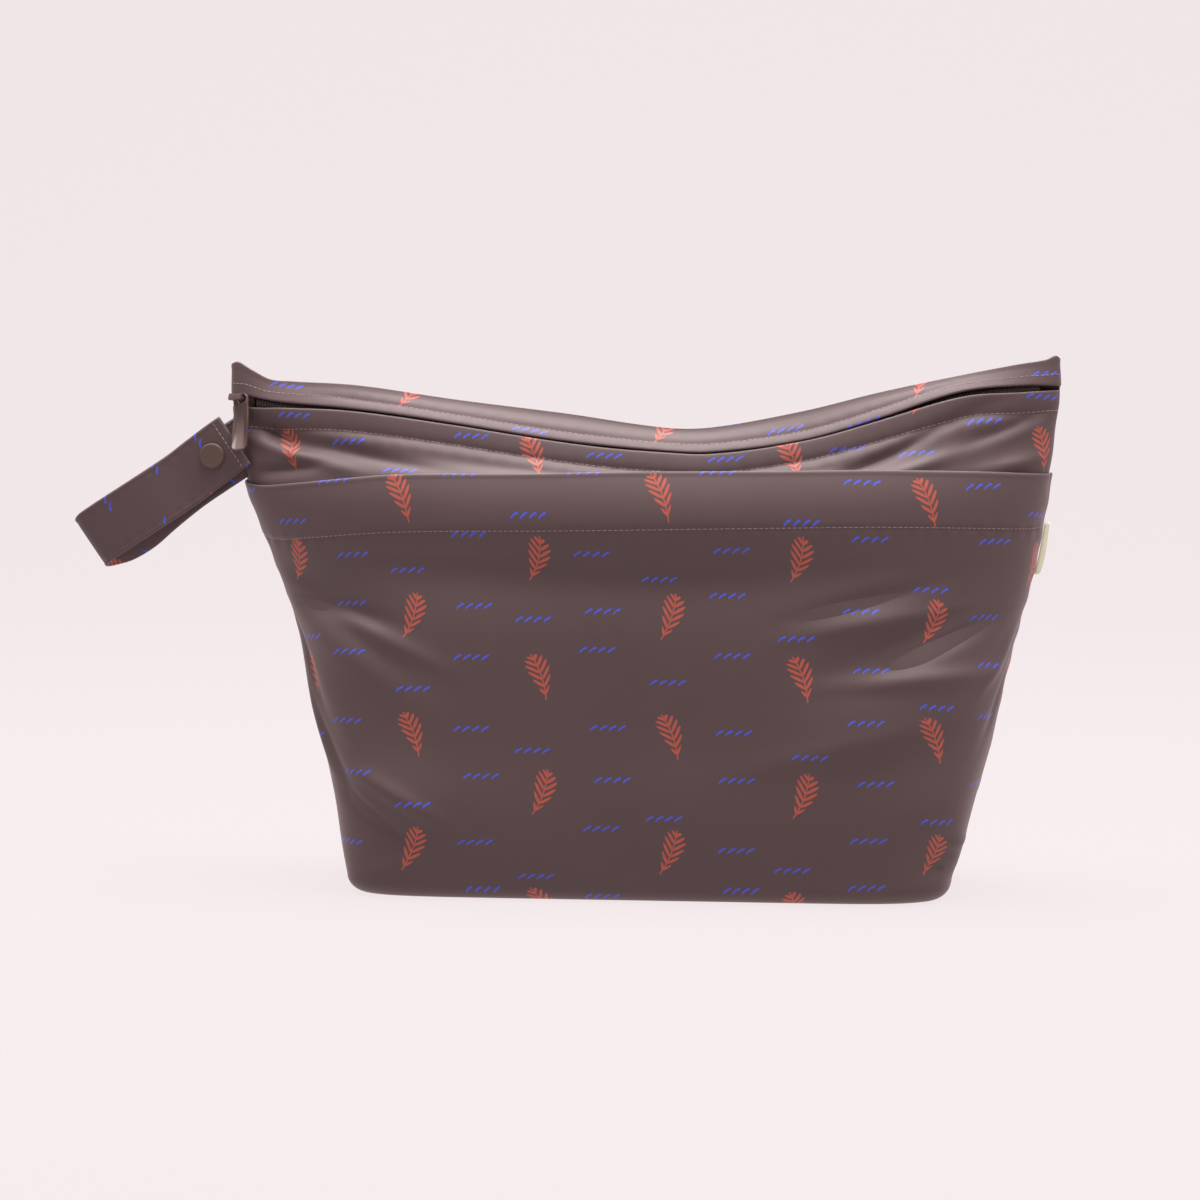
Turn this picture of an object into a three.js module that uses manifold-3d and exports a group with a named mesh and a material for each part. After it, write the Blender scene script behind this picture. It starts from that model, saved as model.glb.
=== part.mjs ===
// Standing cloth wet bag with a zipped mouth, an open front pocket and a looped
// strap that closes with a press snap.
// Millimetres. X runs along the front to the right, Y to the back, Z up.
// The origin is on the underside of the base, a little in front of the side seams.
import * as THREE from 'three';
import { mergeVertices } from 'three/addons/utils/BufferGeometryUtils.js';
import Module from 'manifold-3d';

const wasm = await Module();
wasm.setup();

// Driving sizes of the bag
const MOUTH_WIDTH = 402;
const BAG_HEIGHT = 254;
const BASE_DEPTH = 114;
const MOUTH_SAG = 32;
const SEAM_Y = 6;
const BOTTOM_RADIUS = 9;
const CLOTH = 1.2;
const GAP = 0.3;
const HEM_RADIUS = 1.1;

// Driving sizes of the pocket, as its height at the side seams and how far its mouth stands off
const POCKET_HEIGHT = 198;
const POCKET_GAPE = 7.5;
const GAPE_REACH = 48;

// Driving sizes of the zip. The band above its slit is BAND_HEIGHT high at the seams.
const BAND_HEIGHT = 20;
const SLIT_WIDE = 5.4;
const SLIT_NARROW = 1.0;
const COIL_WIDTH = 4.4;
const COIL_THICKNESS = 1.6;
const TAPE_WIDTH = 4.6;
const TAPE_THICKNESS = 0.8;
const ZIP_CLEARANCE = 0.5;
const ZIP_FROM_LEFT = 16;
const ZIP_FROM_RIGHT = 12;
const SLIDER_FROM_LEFT = 10;
const SLIDER_LENGTH = 9;
const SLIDER_WIDTH = 6;
const SLIDER_THICKNESS = 2;
const BRIDGE_WIDTH = 3;
const BRIDGE_THICKNESS = 1.5;
const FOOT_DIAMETER = 2;
const FOOT_FROM_MIDDLE = 1.2;
const HEEL_FROM_FOOT = 4.9;
const PULL_LENGTH = 30;
const PULL_TOP_WIDTH = 6.2;
const PULL_WIDTH = 8;
const PULL_THICKNESS = 1.6;
const EYE_DIAMETER = 4.4;
const PULL_CLEARANCE = 1.3;
const PULL_LEAN = 22;
const PULL_TILT = 8;
const BODY_LEAN = 9;
const SLIDER_SEAT = 1.9;

// Driving sizes of the strap and its snap
const STRAP_WIDTH = 28;
const STRAP_REACH = 88;
const STRAP_THICKNESS = 2;
const STRAP_SLOPE = 34.2;
const STRAP_OUT_OF_MOUTH = 1.5;
const STRAP_BEFORE_SEAM = 14.2;
const STRAP_BELOW_EDGE = 39.3;
const SNAP_DIAMETER = 12.4;
const SNAP_CAP_THICKNESS = 1.6;
const SNAP_BUTTON_DIAMETER = 9.8;
const SNAP_BUTTON_THICKNESS = 2.2;
const SNAP_FROM_END = 13.5;

// Driving sizes of the side tag
const TAG_HEIGHT = 25;
const TAG_LENGTH = 11;
const TAG_THICKNESS = 1.2;
const TAG_RISE = 164;
const TAG_STAND = 2.4;

// Columns of cloth from seam to seam, and how far a sheet is run past a seam before it is cut
const COLUMNS = 28;
const CROWDING = 0.3;
const SEAM_OVERRUN = 0.02;
const TOP_OVERRUN_SHARE = 0.15;
const CURVE_STEPS = 120;

// Level sections of the bag. rise is a share of BAG_HEIGHT, left and right are shares of half
// the mouth, front and back are shares of half the base depth measured from the side seams.
// broad and full are the powers of the rounded outline: 8 is nearly a rectangle, 2 an ellipse.
const SECTIONS = [
  { rise: 0.000, left: 0.708, right: 0.700, front: 1.04, back: 0.84, broad: 8.0, full: 7.0 },
  { rise: 0.035, left: 0.712, right: 0.705, front: 1.05, back: 0.85, broad: 8.0, full: 7.0 },
  { rise: 0.097, left: 0.731, right: 0.731, front: 1.09, back: 0.88, broad: 7.0, full: 5.0 },
  { rise: 0.181, left: 0.752, right: 0.762, front: 1.12, back: 0.90, broad: 6.0, full: 4.0 },
  { rise: 0.268, left: 0.782, right: 0.791, front: 1.12, back: 0.92, broad: 5.0, full: 3.2 },
  { rise: 0.382, left: 0.822, right: 0.823, front: 1.12, back: 0.91, broad: 4.2, full: 2.6 },
  { rise: 0.496, left: 0.858, right: 0.858, front: 1.09, back: 0.88, broad: 3.6, full: 2.3 },
  { rise: 0.610, left: 0.911, right: 0.897, front: 1.03, back: 0.80, broad: 3.0, full: 2.1 },
  { rise: 0.724, left: 0.969, right: 0.923, front: 0.94, back: 0.64, broad: 2.6, full: 2.0 },
  { rise: 0.780, left: 0.994, right: 0.935, front: 0.84, back: 0.52, broad: 2.4, full: 2.0 },
  { rise: 0.850, left: 1.013, right: 0.950, front: 0.67, back: 0.33, broad: 2.3, full: 1.9 },
  { rise: 0.921, left: 1.027, right: 0.960, front: 0.53, back: 0.06, broad: 2.3, full: 1.9 },
  { rise: 1.000, left: 1.027, right: 0.957, front: 0.33, back: -0.33, broad: 2.3, full: 1.9 },
];

// Sag of the mouth along the cloth. place runs from -1 at the left seam to 1 at the right one,
// edge and slit are drops of the top edge and of the zip line as shares of MOUTH_SAG, and open
// is how far the slit stands open, from 0 at its narrowest to 1 at its widest.
const MOUTH_LINE = [
  { place: -1.00, edge: 0.05, slit: 0.00, open: 1.0 },
  { place: -0.94, edge: 0.19, slit: 0.02, open: 1.0 },
  { place: -0.89, edge: 0.34, slit: 0.05, open: 0.7 },
  { place: -0.84, edge: 0.37, slit: 0.07, open: 0.4 },
  { place: -0.67, edge: 0.43, slit: 0.14, open: 0.1 },
  { place: -0.43, edge: 0.64, slit: 0.34, open: 0.0 },
  { place: -0.17, edge: 0.84, slit: 0.60, open: 0.0 },
  { place: 0.07, edge: 1.05, slit: 0.75, open: 0.0 },
  { place: 0.18, edge: 1.04, slit: 0.76, open: 0.0 },
  { place: 0.39, edge: 0.80, slit: 0.57, open: 0.0 },
  { place: 0.57, edge: 0.52, slit: 0.24, open: 0.1 },
  { place: 0.75, edge: 0.28, slit: -0.12, open: 0.4 },
  { place: 0.89, edge: 0.11, slit: -0.19, open: 0.5 },
  { place: 0.96, edge: 0.04, slit: -0.20, open: 0.3 },
  { place: 1.00, edge: -0.06, slit: -0.20, open: 0.1 },
];

// Drop of the pocket's edge along the cloth, as a share of POCKET_HEIGHT
const POCKET_LINE = [
  { place: -1.00, drop: 0.012 },
  { place: -0.88, drop: 0.023 },
  { place: -0.77, drop: 0.020 },
  { place: -0.55, drop: 0.010 },
  { place: -0.20, drop: 0.006 },
  { place: 0.20, drop: 0.000 },
  { place: 0.60, drop: -0.007 },
  { place: 1.00, drop: -0.012 },
];

// How much of the zip line's drop reaches down to a height, so the cloth over the pocket slackens
const SLACK = [
  { rise: 0.66, share: 0.00 },
  { rise: 0.78, share: 0.22 },
  { rise: 0.85, share: 0.80 },
  { rise: 0.92, share: 1.00 },
];

// Main folds of the front. place is along the cloth, rise a share of BAG_HEIGHT, run and width
// are shares of half the mouth, lean is in degrees from level, and depth is a share of
// BASE_DEPTH, outward when positive.
const FOLDS = [
  { place: -0.74, rise: 0.47, run: 0.20, width: 0.05, lean: -33, depth: 0.035 },
  { place: -0.76, rise: 0.56, run: 0.14, width: 0.06, lean: -20, depth: -0.036 },
  { place: -0.79, rise: 0.32, run: 0.16, width: 0.04, lean: -62, depth: -0.022 },
  { place: -0.60, rise: 0.20, run: 0.18, width: 0.07, lean: -20, depth: 0.022 },
  { place: 0.62, rise: 0.50, run: 0.20, width: 0.05, lean: 24, depth: -0.035 },
  { place: 0.60, rise: 0.36, run: 0.26, width: 0.07, lean: 18, depth: 0.026 },
  { place: 0.00, rise: 0.69, run: 0.50, width: 0.06, lean: 0, depth: 0.022 },
  { place: 0.00, rise: 0.60, run: 0.55, width: 0.07, lean: 0, depth: -0.026 },
  { place: 0.72, rise: 0.09, run: 0.09, width: 0.06, lean: 0, depth: -0.050 },
  { place: 0.05, rise: 0.35, run: 0.50, width: 0.22, lean: 0, depth: -0.022 },
];

// Height shares of the rows of each sheet
const LOW_ROWS = [0.08, 0.17, 0.26, 0.34, 0.42, 0.50, 0.56, 0.61, 0.66, 0.71];
const SLIT_RISE = 1 - BAND_HEIGHT / BAG_HEIGHT;
const POCKET_RISE = POCKET_HEIGHT / BAG_HEIGHT;
const FRONT_ROWS = [...LOW_ROWS, 0.745, 0.78, 0.815, 0.85, 0.885];
const BACK_ROWS = [...LOW_ROWS, 0.745, 0.78, 0.82, 0.86, 0.90, 0.955, 1];
const ROW_MARGIN = 0.015;

// How the cloths lie on each other
const HALF_CLOTH = CLOTH / 2;
const PLY = CLOTH + GAP;
const TURNS = [0, 28, 56, 90].map((degrees) => THREE.MathUtils.degToRad(degrees));
const FLAT_MARGIN = 4;

const UP = new THREE.Vector3(0, 0, 1);

// Places along the cloth from distances in from a seam
const ZIP_START = (2 * ZIP_FROM_LEFT) / MOUTH_WIDTH - 1;
const ZIP_END = 1 - (2 * ZIP_FROM_RIGHT) / MOUTH_WIDTH;
const SLIDER_PLACE = (2 * SLIDER_FROM_LEFT) / MOUTH_WIDTH - 1;

// A value read smoothly from one column of a table with rising steps.
function smoothAt(rows, key, column, at) {
  const last = rows.length - 1;
  if (at <= rows[0][key]) return rows[0][column];
  if (at >= rows[last][key]) return rows[last][column];
  const i = rows.findIndex((row) => row[key] > at) - 1;
  const slope = (k) => {
    const before = rows[Math.max(k - 1, 0)];
    const after = rows[Math.min(k + 1, last)];
    return (after[column] - before[column]) / (after[key] - before[key]);
  };
  const step = rows[i + 1][key] - rows[i][key];
  const s = (at - rows[i][key]) / step;
  const s2 = s * s;
  const s3 = s2 * s;
  return (2 * s3 - 3 * s2 + 1) * rows[i][column]
    + (s3 - 2 * s2 + s) * step * slope(i)
    + (3 * s2 - 2 * s3) * rows[i + 1][column]
    + (s3 - s2) * step * slope(i + 1);
}

// The outline of one level section as points with their length from the left seam.
const outlines = new Map();
function outlineAt(side, rise) {
  const name = `${side} ${rise.toFixed(5)}`;
  if (outlines.has(name)) return outlines.get(name);
  const half = MOUTH_WIDTH / 2;
  const left = half * smoothAt(SECTIONS, 'rise', 'left', rise);
  const right = half * smoothAt(SECTIONS, 'rise', 'right', rise);
  const depth = (BASE_DEPTH / 2) * smoothAt(SECTIONS, 'rise', side, rise);
  const broad = smoothAt(SECTIONS, 'rise', 'broad', rise);
  const full = smoothAt(SECTIONS, 'rise', 'full', rise);
  const outward = side === 'front' ? -1 : 1;
  const points = [];
  let length = 0;
  for (let i = 0; i <= CURVE_STEPS; i += 1) {
    const angle = (Math.PI * i) / CURVE_STEPS;
    const across = -Math.cos(angle);
    const x = Math.sign(across) * Math.abs(across) ** (2 / broad) * (across < 0 ? left : right);
    const y = outward * depth * Math.abs(Math.sin(angle)) ** (2 / full);
    const before = points[i - 1];
    if (before) length += Math.hypot(x - before.x, y - before.y);
    points.push({ x, y, length });
  }
  outlines.set(name, points);
  return points;
}

// A point of a level section at a place along the cloth; past a seam it runs straight on.
function outlinePoint(side, place, rise) {
  const points = outlineAt(side, rise);
  const total = points[points.length - 1].length;
  const wanted = (total * (place + 1)) / 2;
  let i = points.findIndex((point) => point.length > wanted);
  if (i < 1) i = i === 0 ? 1 : points.length - 1;
  const from = points[i - 1];
  const to = points[i];
  const s = (wanted - from.length) / (to.length - from.length);
  return { x: from.x + (to.x - from.x) * s, y: from.y + (to.y - from.y) * s };
}

// How far the cloth hangs below its height at the seams.
function sagAt(place, rise) {
  const slit = smoothAt(MOUTH_LINE, 'place', 'slit', place);
  if (rise <= SLIT_RISE) return MOUTH_SAG * slit * smoothAt(SLACK, 'rise', 'share', rise);
  const edge = smoothAt(MOUTH_LINE, 'place', 'edge', place);
  const s = (rise - SLIT_RISE) / (1 - SLIT_RISE);
  return MOUTH_SAG * (slit + (edge - slit) * s);
}

// The back hangs in one smooth curve, and follows the front only at the seams.
function backSagAt(place, rise) {
  const edge = smoothAt(MOUTH_LINE, 'place', 'edge', place);
  const high = Math.max(0, (rise - SLACK[0].rise) / (1 - SLACK[0].rise));
  const nearSeam = place ** 8;
  return MOUTH_SAG * edge * high ** 1.6 * (1 - nearSeam) + sagAt(place, rise) * nearSeam;
}

// How far the folds push the front outward.
function foldAt(place, rise) {
  const half = MOUTH_WIDTH / 2;
  let push = 0;
  for (const fold of FOLDS) {
    const across = place - fold.place;
    const up = ((rise - fold.rise) * BAG_HEIGHT) / half;
    const lean = THREE.MathUtils.degToRad(fold.lean);
    const along = across * Math.cos(lean) + up * Math.sin(lean);
    const beside = up * Math.cos(lean) - across * Math.sin(lean);
    push += fold.depth * BASE_DEPTH * Math.exp(-((along / fold.run) ** 2) - (beside / fold.width) ** 2);
  }
  return push * Math.min(1, (1 - Math.abs(place)) * 8);
}

function riseOf(row, place) {
  return typeof row.rise === 'function' ? row.rise(place) : row.rise;
}

// A point on the middle of a cloth. Rows with a turn under a quarter belong to the rounded
// bottom edge; flat rows lie on the base.
function clothPoint(side, place, row, slack) {
  const rise = riseOf(row, place);
  const radius = BOTTOM_RADIUS - HALF_CLOTH - (side === 'front' ? PLY : 0);
  const inset = radius * (1 - Math.sin(row.turn)) + row.flat;
  const { x, y } = outlinePoint(side, place, rise);
  const widest = (MOUTH_WIDTH / 2) * smoothAt(SECTIONS, 'rise', 'left', rise);
  const deepest = (BASE_DEPTH / 2) * smoothAt(SECTIONS, 'rise', side, rise);
  const sag = side === 'back' ? backSagAt : sagAt;
  const z = row.turn < Math.PI / 2
    ? BOTTOM_RADIUS - radius * Math.cos(row.turn)
    : rise * BAG_HEIGHT - (slack ? sag(place, rise) : 0);
  const push = side === 'front' ? -foldAt(place, rise) * Math.sin(row.turn) : 0;
  return new THREE.Vector3(
    row.turn < Math.PI / 2 ? x * (1 - inset / widest) : x,
    SEAM_Y + (row.turn < Math.PI / 2 ? y * (1 - inset / deepest) : y) + push,
    z,
  );
}

// The rows under the bottom edge, shared by every wall.
function bottomRows() {
  const rise = BOTTOM_RADIUS / BAG_HEIGHT;
  const flat = { rise, turn: 0, flat: FLAT_MARGIN };
  return [flat, ...TURNS.map((turn) => ({ rise, turn, flat: 0 }))];
}

function wallRows(rises) {
  return rises.map((rise) => ({ rise, turn: Math.PI / 2, flat: 0 }));
}

// The columns of a wall from seam to seam, closer together near the seams.
function wallColumns() {
  return Array.from({ length: COLUMNS + 1 }, (_, i) => {
    const even = (2 * i) / COLUMNS - 1;
    return even * (1 + CROWDING * (1 - even * even));
  });
}

// The wall's own columns between two places, with the two places as the ends.
function columnsBetween(from, to) {
  const inside = wallColumns().filter((place) => place > from + 0.005 && place < to - 0.005);
  return [from, ...inside, to];
}

// Points and outward normals of a cloth's middle surface.
function gridOf(pointAt, columns, rows, facing) {
  const points = rows.map((row) => columns.map((place) => pointAt(place, row)));
  const normals = normalsOf(points, rows, facing);
  return { points, normals, rows, columns, facing };
}

function normalsOf(points, rows, facing) {
  const down = new THREE.Vector3(0, 0, -1);
  return points.map((line, j) => line.map((_, i) => {
    if (rows[j].turn === 0) return down.clone();
    const left = line[Math.max(i - 1, 0)];
    const right = line[Math.min(i + 1, line.length - 1)];
    const below = points[Math.max(j - 1, 0)][i];
    const above = points[Math.min(j + 1, points.length - 1)][i];
    const along = right.clone().sub(left);
    return along.cross(above.clone().sub(below)).normalize().multiplyScalar(facing);
  }));
}

// The same grid moved along its normals, by one distance or by a distance for each point.
function offsetGrid(grid, distance) {
  const points = grid.points.map((line, j) => line.map((point, i) => {
    const by = typeof distance === 'function' ? distance(grid.columns[i], grid.rows[j]) : distance;
    return point.clone().addScaledVector(grid.normals[j][i], by);
  }));
  return { ...grid, points, normals: normalsOf(points, grid.rows, grid.facing) };
}

// A closed sheet between two offsets of a grid.
function sheetOf(grid, outer, inner) {
  const wide = grid.columns.length;
  const high = grid.rows.length;
  const positions = [];
  for (const by of [outer, inner]) {
    for (let j = 0; j < high; j += 1) {
      for (let i = 0; i < wide; i += 1) {
        const point = grid.points[j][i].clone().addScaledVector(grid.normals[j][i], by);
        positions.push(point.x, point.y, point.z);
      }
    }
  }
  const at = (layer, i, j) => layer * wide * high + j * wide + i;
  const faces = [];
  const quad = (a, b, c, d) => {
    const corners = grid.facing > 0 ? [a, b, c, a, c, d] : [a, c, b, a, d, c];
    faces.push(...corners);
  };
  for (let j = 0; j < high - 1; j += 1) {
    for (let i = 0; i < wide - 1; i += 1) {
      quad(at(0, i, j), at(0, i + 1, j), at(0, i + 1, j + 1), at(0, i, j + 1));
      quad(at(1, i, j), at(1, i, j + 1), at(1, i + 1, j + 1), at(1, i + 1, j));
    }
  }
  for (let i = 0; i < wide - 1; i += 1) {
    quad(at(0, i, 0), at(1, i, 0), at(1, i + 1, 0), at(0, i + 1, 0));
    quad(at(0, i, high - 1), at(0, i + 1, high - 1), at(1, i + 1, high - 1), at(1, i, high - 1));
  }
  for (let j = 0; j < high - 1; j += 1) {
    quad(at(0, 0, j), at(0, 0, j + 1), at(1, 0, j + 1), at(1, 0, j));
    quad(at(0, wide - 1, j), at(1, wide - 1, j), at(1, wide - 1, j + 1), at(0, wide - 1, j + 1));
  }
  const geometry = new THREE.BufferGeometry();
  geometry.setAttribute('position', new THREE.Float32BufferAttribute(positions, 3));
  geometry.setIndex(faces);
  return geometry;
}

// Joining and cutting of closed solids.
function solidOf(geometry) {
  const bare = geometry.clone();
  bare.deleteAttribute('normal');
  bare.deleteAttribute('uv');
  const merged = mergeVertices(bare, 1e-4);
  return new wasm.Manifold(new wasm.Mesh({
    numProp: 3,
    vertProperties: new Float32Array(merged.attributes.position.array),
    triVerts: new Uint32Array(merged.index.array),
  }));
}

function geometryOf(solid) {
  const { vertProperties, triVerts } = solid.getMesh();
  const geometry = new THREE.BufferGeometry();
  geometry.setAttribute('position', new THREE.BufferAttribute(new Float32Array(vertProperties), 3));
  geometry.setIndex(new THREE.BufferAttribute(new Uint32Array(triVerts), 1));
  geometry.computeVertexNormals();
  return geometry;
}

function joined(...geometries) {
  return geometries.map(solidOf).reduce((whole, next) => whole.add(next));
}

// The space in front of or behind a plane across Y.
function spaceOf(side, planeY) {
  const reach = 4 * MOUTH_WIDTH;
  const box = new THREE.BoxGeometry(reach, reach, reach);
  box.translate(0, planeY + (side === 'front' ? -reach / 2 : reach / 2), 0);
  return solidOf(box);
}

// A flat plate of cloth that closes the base inside the bottom edge of a wall.
function basePlate(grid, z) {
  const shape = new THREE.Shape();
  const middle = (i) => grid.points[0][i].clone().lerp(grid.points[1][i], 0.5);
  grid.columns.forEach((_, i) => {
    const { x, y } = middle(i);
    if (i === 0) shape.moveTo(x, y);
    else shape.lineTo(x, y);
  });
  const plate = new THREE.ExtrudeGeometry(shape, { depth: CLOTH, bevelEnabled: false });
  plate.translate(0, 0, z);
  return plate;
}

function halfOpening(place) {
  const open = smoothAt(MOUTH_LINE, 'place', 'open', place);
  return (SLIT_NARROW + (SLIT_WIDE - SLIT_NARROW) * open) / 2;
}

const OVERRUN = 1 + SEAM_OVERRUN;
const WALL_PLACES = [-OVERRUN, ...wallColumns(), OVERRUN];
const TOP_OVERRUN = 1 + SEAM_OVERRUN * TOP_OVERRUN_SHARE;
const TOP_PLACES = [-TOP_OVERRUN, ...wallColumns(), TOP_OVERRUN];
const ZIP_PLACES = columnsBetween(ZIP_START, ZIP_END);

// A row at a distance along the front cloth from the middle of the slit, upward when positive.
function rowFromSlit(distanceAt) {
  const probe = 0.02;
  const at = (place, rise) => clothPoint('front', place, { rise, turn: Math.PI / 2, flat: 0 }, true);
  const rise = (place) => {
    const distance = distanceAt(place);
    const step = probe * Math.sign(distance);
    const length = at(place, SLIT_RISE).distanceTo(at(place, SLIT_RISE + step));
    return SLIT_RISE + (step * Math.abs(distance)) / length;
  };
  return { rise, turn: Math.PI / 2, flat: 0 };
}

const lipRow = rowFromSlit((place) => -halfOpening(place));
const bandRow = rowFromSlit(halfOpening);

function frontPanel() {
  const below = FRONT_ROWS.filter((rise) => rise < SLIT_RISE - ROW_MARGIN);
  const rows = [...bottomRows(), ...wallRows(below), lipRow];
  const grid = gridOf((place, row) => clothPoint('front', place, row, true), WALL_PLACES, rows, 1);
  const wall = sheetOf(grid, HALF_CLOTH, -HALF_CLOTH);
  return joined(wall, basePlate(grid, PLY)).intersect(spaceOf('front', SEAM_Y - GAP / 2));
}

// The row of the pocket's edge, which droops a little to the left.
const pocketEdgeRow = {
  rise: (place) => POCKET_RISE * (1 - smoothAt(POCKET_LINE, 'place', 'drop', place)),
  turn: Math.PI / 2,
  flat: 0,
};

function gapeAt(place, row) {
  if (row.turn < Math.PI / 2) return PLY;
  const below = (pocketEdgeRow.rise(place) - riseOf(row, place)) * BAG_HEIGHT;
  const near = Math.max(0, 1 - below / GAPE_REACH);
  const bow = Math.max(0, 1 - (place / 0.97) ** 4);
  return PLY + POCKET_GAPE * bow * near * near * (3 - 2 * near);
}

function pocketPanel() {
  const below = FRONT_ROWS.filter((rise) => rise < POCKET_RISE - 2 * ROW_MARGIN);
  const rows = [...bottomRows(), ...wallRows(below), pocketEdgeRow];
  const panel = gridOf((place, row) => clothPoint('front', place, row, false), WALL_PLACES, rows, 1);
  const grid = offsetGrid(panel, gapeAt);
  const wall = sheetOf(grid, HALF_CLOTH, -HALF_CLOTH);
  return joined(wall, basePlate(grid, 0)).intersect(spaceOf('front', SEAM_Y - GAP / 2));
}

// A round bead along the top edge, where the back cloth folds over to the front.
function hemBead(grid) {
  const last = grid.points.length - 1;
  const path = new THREE.CatmullRomCurve3(grid.points[last].map((point) => point.clone()));
  const round = new THREE.Shape();
  round.absarc(0, 0, HEM_RADIUS, 0, 2 * Math.PI, false);
  return new THREE.ExtrudeGeometry(round, { extrudePath: path, steps: COLUMNS + 2, curveSegments: 3 });
}

// A point on the front cloth above the slit, where the band has no slack of its own.
function bandPoint(place, row) {
  return clothPoint('front', place, row, true);
}

// The back wall, its fold over the top edge and the band that comes down to the slit.
function backPanel() {
  const lowRises = BACK_ROWS.filter((rise) => rise < SLIT_RISE - ROW_MARGIN);
  const highRises = BACK_ROWS.filter((rise) => rise > SLIT_RISE + ROW_MARGIN);
  const lowRows = [...bottomRows(), ...wallRows([...lowRises, SLIT_RISE])];
  const pointAt = (place, row) => clothPoint('back', place, row, true);
  const low = gridOf(pointAt, WALL_PLACES, lowRows, -1);
  const high = gridOf(pointAt, TOP_PLACES, wallRows([SLIT_RISE, ...highRises]), -1);
  const band = gridOf(bandPoint, TOP_PLACES, [bandRow, ...wallRows(highRises)], 1);
  const wall = joined(sheetOf(low, HALF_CLOTH, -HALF_CLOTH), basePlate(low, 0));
  return wall
    .intersect(spaceOf('back', SEAM_Y + GAP / 2))
    .add(solidOf(sheetOf(high, HALF_CLOTH, -HALF_CLOTH)))
    .add(solidOf(sheetOf(band, HALF_CLOTH, -HALF_CLOTH)))
    .add(solidOf(hemBead(high)));
}

// The zip is a level ribbon behind the slit: its middle, its way up and its way out at a place.
const COIL_EDGE = COIL_WIDTH / 2;
const TAPE_START = COIL_EDGE + GAP;
const TAPE_END = TAPE_START + TAPE_WIDTH;

function zipFrame(place) {
  const low = bandPoint(place, rowFromSlit(() => -TAPE_END));
  const high = bandPoint(place, rowFromSlit(() => TAPE_END));
  const middle = bandPoint(place, { rise: SLIT_RISE, turn: Math.PI / 2, flat: 0 });
  const step = 0.02;
  const before = bandPoint(place - step, { rise: SLIT_RISE, turn: Math.PI / 2, flat: 0 });
  const after = bandPoint(place + step, { rise: SLIT_RISE, turn: Math.PI / 2, flat: 0 });
  const upward = high.clone().sub(low).normalize();
  const outward = after.sub(before).cross(upward).normalize();
  const chord = low.clone().add(high).multiplyScalar(0.5);
  const hollow = Math.min(0, middle.clone().sub(chord).dot(outward));
  return { middle: chord.addScaledVector(outward, hollow), upward, outward };
}

function zipStrip(low, high, thickness) {
  const frames = ZIP_PLACES.map(zipFrame);
  const rows = [low, high];
  const points = rows.map((from) => frames.map((frame) => frame.middle.clone().addScaledVector(frame.upward, from)));
  const normals = rows.map(() => frames.map((frame) => frame.outward));
  const grid = { points, normals, rows, columns: ZIP_PLACES, facing: 1 };
  const behind = -(HALF_CLOTH + ZIP_CLEARANCE);
  return sheetOf(grid, behind, behind - thickness);
}

// A frame at the closed slider: X along the cloth between two places, Y inward, Z up at a lean.
function frameAtSlider(from, to, leanDegrees) {
  const at = (place) => bandPoint(place, { rise: SLIT_RISE, turn: Math.PI / 2, flat: 0 });
  const along = at(to).sub(at(from)).setZ(0).normalize();
  const lean = THREE.MathUtils.degToRad(leanDegrees);
  const upward = UP.clone().applyAxisAngle(along, -lean);
  const inward = UP.clone().cross(along).normalize().applyAxisAngle(along, -lean);
  return new THREE.Matrix4().makeBasis(along, inward, upward).setPosition(at(SLIDER_PLACE));
}

// The slider's body lies along the cloth where it stands; the pull swings over the next stretch.
const bodyReach = SLIDER_LENGTH / MOUTH_WIDTH;
const swingReach = (2 * PULL_LENGTH) / MOUTH_WIDTH;
const bodyFrame = frameAtSlider(SLIDER_PLACE - bodyReach, SLIDER_PLACE + bodyReach, BODY_LEAN);
const pullFrame = frameAtSlider(SLIDER_PLACE, SLIDER_PLACE + swingReach, PULL_LEAN);

function box(width, depth, height, x, y, z) {
  const geometry = new THREE.BoxGeometry(width, depth, height);
  geometry.translate(x, y, z);
  return geometry;
}

// A round post along Y between two depths.
function post(diameter, from, to, x, z) {
  const geometry = new THREE.CylinderGeometry(diameter / 2, diameter / 2, to - from, 16);
  geometry.translate(x, (from + to) / 2, z);
  return geometry;
}

// Slider body behind the slit, and the bridge in front of it.
const BODY_FRONT = HALF_CLOTH + SLIDER_SEAT;
const EYE_FRONT = -(HALF_CLOTH + PULL_CLEARANCE + PULL_THICKNESS);
const BRIDGE_BACK = EYE_FRONT - PULL_CLEARANCE;
const BRIDGE_FRONT = BRIDGE_BACK - BRIDGE_THICKNESS;
const FOOT_X = FOOT_FROM_MIDDLE;
const HEEL_X = FOOT_X - HEEL_FROM_FOOT;

function zipSlider() {
  const body = box(
    SLIDER_LENGTH, SLIDER_THICKNESS, SLIDER_WIDTH,
    0, BODY_FRONT + SLIDER_THICKNESS / 2, 0,
  ).applyMatrix4(bodyFrame);
  const bridge = box(
    FOOT_X - HEEL_X + FOOT_DIAMETER, BRIDGE_THICKNESS, BRIDGE_WIDTH,
    (FOOT_X + HEEL_X) / 2, (BRIDGE_FRONT + BRIDGE_BACK) / 2, 0,
  );
  const sunk = 0.4;
  const foot = post(FOOT_DIAMETER, BRIDGE_BACK - sunk, BODY_FRONT + sunk, FOOT_X, 0);
  const heel = post(FOOT_DIAMETER, BRIDGE_BACK - sunk, BODY_FRONT + sunk, HEEL_X, 0);
  const outside = [bridge, foot, heel].map((piece) => piece.applyMatrix4(pullFrame));
  return geometryOf(joined(body, ...outside));
}

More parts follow.
